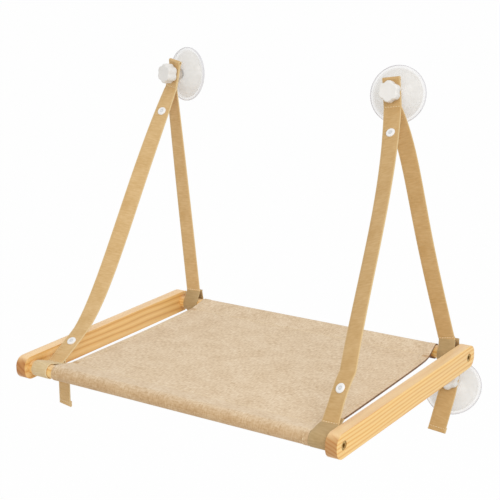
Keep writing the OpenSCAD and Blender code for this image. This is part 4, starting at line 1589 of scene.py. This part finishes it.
@dataclass(frozen=True)
class Studio:
    """Camera, lamp, floor and sky."""

    focal_px: float = 1273.3
    image_px: float = 500.0
    yaw: float = 34.65
    pitch: float = 15.65
    roll: float = -1.22
    eye: tuple[float, float, float] = (889.87, -1459.8, 585.1)
    floor_z: float = -620.0
    floor_reach: float = 12000.0
    floor_white: float = 0.97
    sky_level: float = 0.79
    lamp_place: tuple[float, float, float] = (1.4, -1.15, 1.25)
    lamp_size: float = 1.3
    lamp_power: float = 13.0
    lamp_aim: tuple[float, float, float] = (0, -0.18, 0.1)

    def build_camera(self) -> None:
        """Set the camera where the photograph was taken from."""
        a, b, c = (math.radians(v) for v in (self.yaw, self.pitch, self.roll))
        back = Vector((math.sin(a) * math.cos(b), -math.cos(a) * math.cos(b), math.sin(b)))
        right = (-back).cross(UP).normalized()
        above = right.cross(-back)
        tilted = math.cos(c) * right + math.sin(c) * above
        head = -math.sin(c) * right + math.cos(c) * above
        data = bpy.data.cameras.new("camera")
        data.sensor_width = 36.0
        data.lens = data.sensor_width * self.focal_px / self.image_px
        data.clip_end = 50.0
        camera = bpy.data.objects.new("camera", data)
        pose = Matrix((tilted, head, back)).transposed().to_4x4()
        pose.translation = Vector(self.eye) * MM
        camera.matrix_world = pose
        bpy.context.scene.collection.objects.link(camera)
        bpy.context.scene.camera = camera

    def build_lamp(self) -> None:
        """Hang one soft square lamp that faces the sling. Its sizes are in metres, its power in watts."""
        data = bpy.data.lights.new("key lamp", "AREA")
        data.size = self.lamp_size
        data.energy = self.lamp_power
        lamp = bpy.data.objects.new("key lamp", data)
        lamp.location = self.lamp_place
        aim = Vector(self.lamp_aim) - Vector(self.lamp_place)
        lamp.rotation_mode = "QUATERNION"
        lamp.rotation_quaternion = aim.to_track_quat("-Z", "Y")
        bpy.context.scene.collection.objects.link(lamp)

    def seen_directly(self, tree: bpy.types.NodeTree) -> bpy.types.NodeSocket:
        """Tell the rays that show a surface from those that light one.

        Args:
            tree: The node tree.

        Returns:
            One where a ray comes from the camera, a gloss or a clear piece, and zero elsewhere.
        """
        path = add(tree, "ShaderNodeLightPath").outputs
        glossy = add(tree, "ShaderNodeMath", {"operation": "MAXIMUM"},
                     {0: path["Is Camera Ray"], 1: path["Is Glossy Ray"]}).outputs[0]
        return add(tree, "ShaderNodeMath", {"operation": "MAXIMUM"},
                   {0: glossy, 1: path["Is Transmission Ray"]}).outputs[0]

    def build_sky(self) -> None:
        """Make an even white sky, which lights the object at a plain level."""
        world = bpy.data.worlds.new("sky")
        world.use_nodes = True
        tree = world.node_tree
        tree.nodes.clear()
        white = linear("#FFFFFF")
        shed = add(tree, "ShaderNodeBackground", inputs={"Color": white, "Strength": self.sky_level})
        seen = add(tree, "ShaderNodeBackground", inputs={"Color": white, "Strength": 1.0})
        mixed = add(tree, "ShaderNodeMixShader", inputs={
            0: self.seen_directly(tree), 1: shed.outputs[0], 2: seen.outputs[0]})
        add(tree, "ShaderNodeOutputWorld", inputs={"Surface": mixed.outputs[0]})
        bpy.context.scene.world = world

    def build_floor(self) -> None:
        """Lay a pale floor, which stays white to the eye and keeps part of the object's shadow."""
        material = bpy.data.materials.new("pale floor")
        material.use_nodes = True
        tree = material.node_tree
        tree.nodes.clear()
        matt = add(tree, "ShaderNodeBsdfDiffuse", inputs={"Color": linear("#F4F4F3")})
        white = add(tree, "ShaderNodeEmission", inputs={"Color": linear("#FFFFFF"), "Strength": 1.0})
        share = add(tree, "ShaderNodeMath", {"operation": "MULTIPLY"},
                    {0: self.seen_directly(tree), 1: self.floor_white})
        mixed = add(tree, "ShaderNodeMixShader", inputs={
            0: share.outputs[0], 1: matt.outputs[0], 2: white.outputs[0]})
        add(tree, "ShaderNodeOutputMaterial", inputs={"Surface": mixed.outputs[0]})
        mesh = bpy.data.meshes.new("floor")
        far, z = self.floor_reach * MM, self.floor_z * MM
        corners = [(-far, -far, z), (far, -far, z), (far, far, z), (-far, far, z)]
        mesh.from_pydata(corners, [], [(0, 1, 2, 3)])
        mesh.materials.append(material)
        floor = bpy.data.objects.new("floor", mesh)
        bpy.context.scene.collection.objects.link(floor)

    def build(self) -> None:
        """Set up the whole studio."""
        bpy.context.scene.view_settings.view_transform = "Standard"
        self.build_camera()
        self.build_sky()
        self.build_floor()
        self.build_lamp()


LEFT_HIGH = CupPlace("left_upper", -227, 340, -14, 7, 2, -8)
RIGHT_HIGH = CupPlace("right_upper", 124, 337, 9, 14, 2, 8)
LEFT_LOW = CupPlace("left_lower", -213, -38, -10, 40, 1)
RIGHT_LOW = CupPlace("right_lower", 213, -38, 10, 40, 1)
CUPS = (LEFT_HIGH, RIGHT_HIGH, LEFT_LOW, RIGHT_LOW)
STRAPS = (
    Strap(Side.LEFT, LEFT_HIGH, LEFT_LOW, front_x=-206.5, rear_x=-208, loop_rise=7, first_rise=29,
          low_snap_at=60, high_snap_at=40, end_turn=0, sag=15),
    Strap(Side.RIGHT, RIGHT_HIGH, RIGHT_LOW, front_x=212, rear_x=205.5, loop_rise=38, first_rise=55,
          low_snap_at=63, high_snap_at=37, end_turn=17, slack=3, bow=6, rear_bow=6, flap=10, flap_lean=26,
          rear_slip=5.2),
)


def on_webbing(point: Vector, run: Vector, hint: Vector) -> Matrix:
    """Stud space on a band: Z leaves its front face.

    Args:
        point: Middle of the webbing.
        run: The band's downward direction.
        hint: Its width direction.

    Returns:
        The stud's place in millimetres.
    """
    across = (hint - hint.dot(run) * run).normalized()
    out = run.cross(across)
    made = Matrix((across, out.cross(across), out)).transposed().to_4x4()
    made.translation = point
    return made


def main() -> None:
    """Build every piece of the hammock and its studio."""
    logging.basicConfig(level=logging.INFO, format="%(message)s")
    finishes = Finishes()
    Studio().build()
    timber = PineFrame()
    for side in Side:
        timber.build_rail(side, finishes)
    timber.dress_solids(finishes)
    Sling().build(finishes)
    stud = PressStud()
    for strap in STRAPS:
        strap.build_front_loop(finishes)
        strap.build_front_leg(finishes)
        strap.build_top_fold(finishes)
        strap.build_rear_leg(finishes)
        strap.build_lower_strap(finishes)
        label = strap.side.label
        point, run, hint = strap.high_snap()
        place = on_webbing(point, run, hint)
        stud.build(f"{label}_high_press_stud", f"{label}_high_snap", "hanger", place, finishes)
        place = on_webbing(strap.low_snap, -strap.low_snap_run, strap.leg_hint(1))
        stud.build(f"{label}_low_press_stud", f"{label}_low_snap", "frame", place, finishes)
    STRAPS[0].build_tail(finishes)
    for place in CUPS:
        SuctionCup().build(place, finishes)
        Knob().build(place, finishes)


if __name__ == "__main__":
    main()
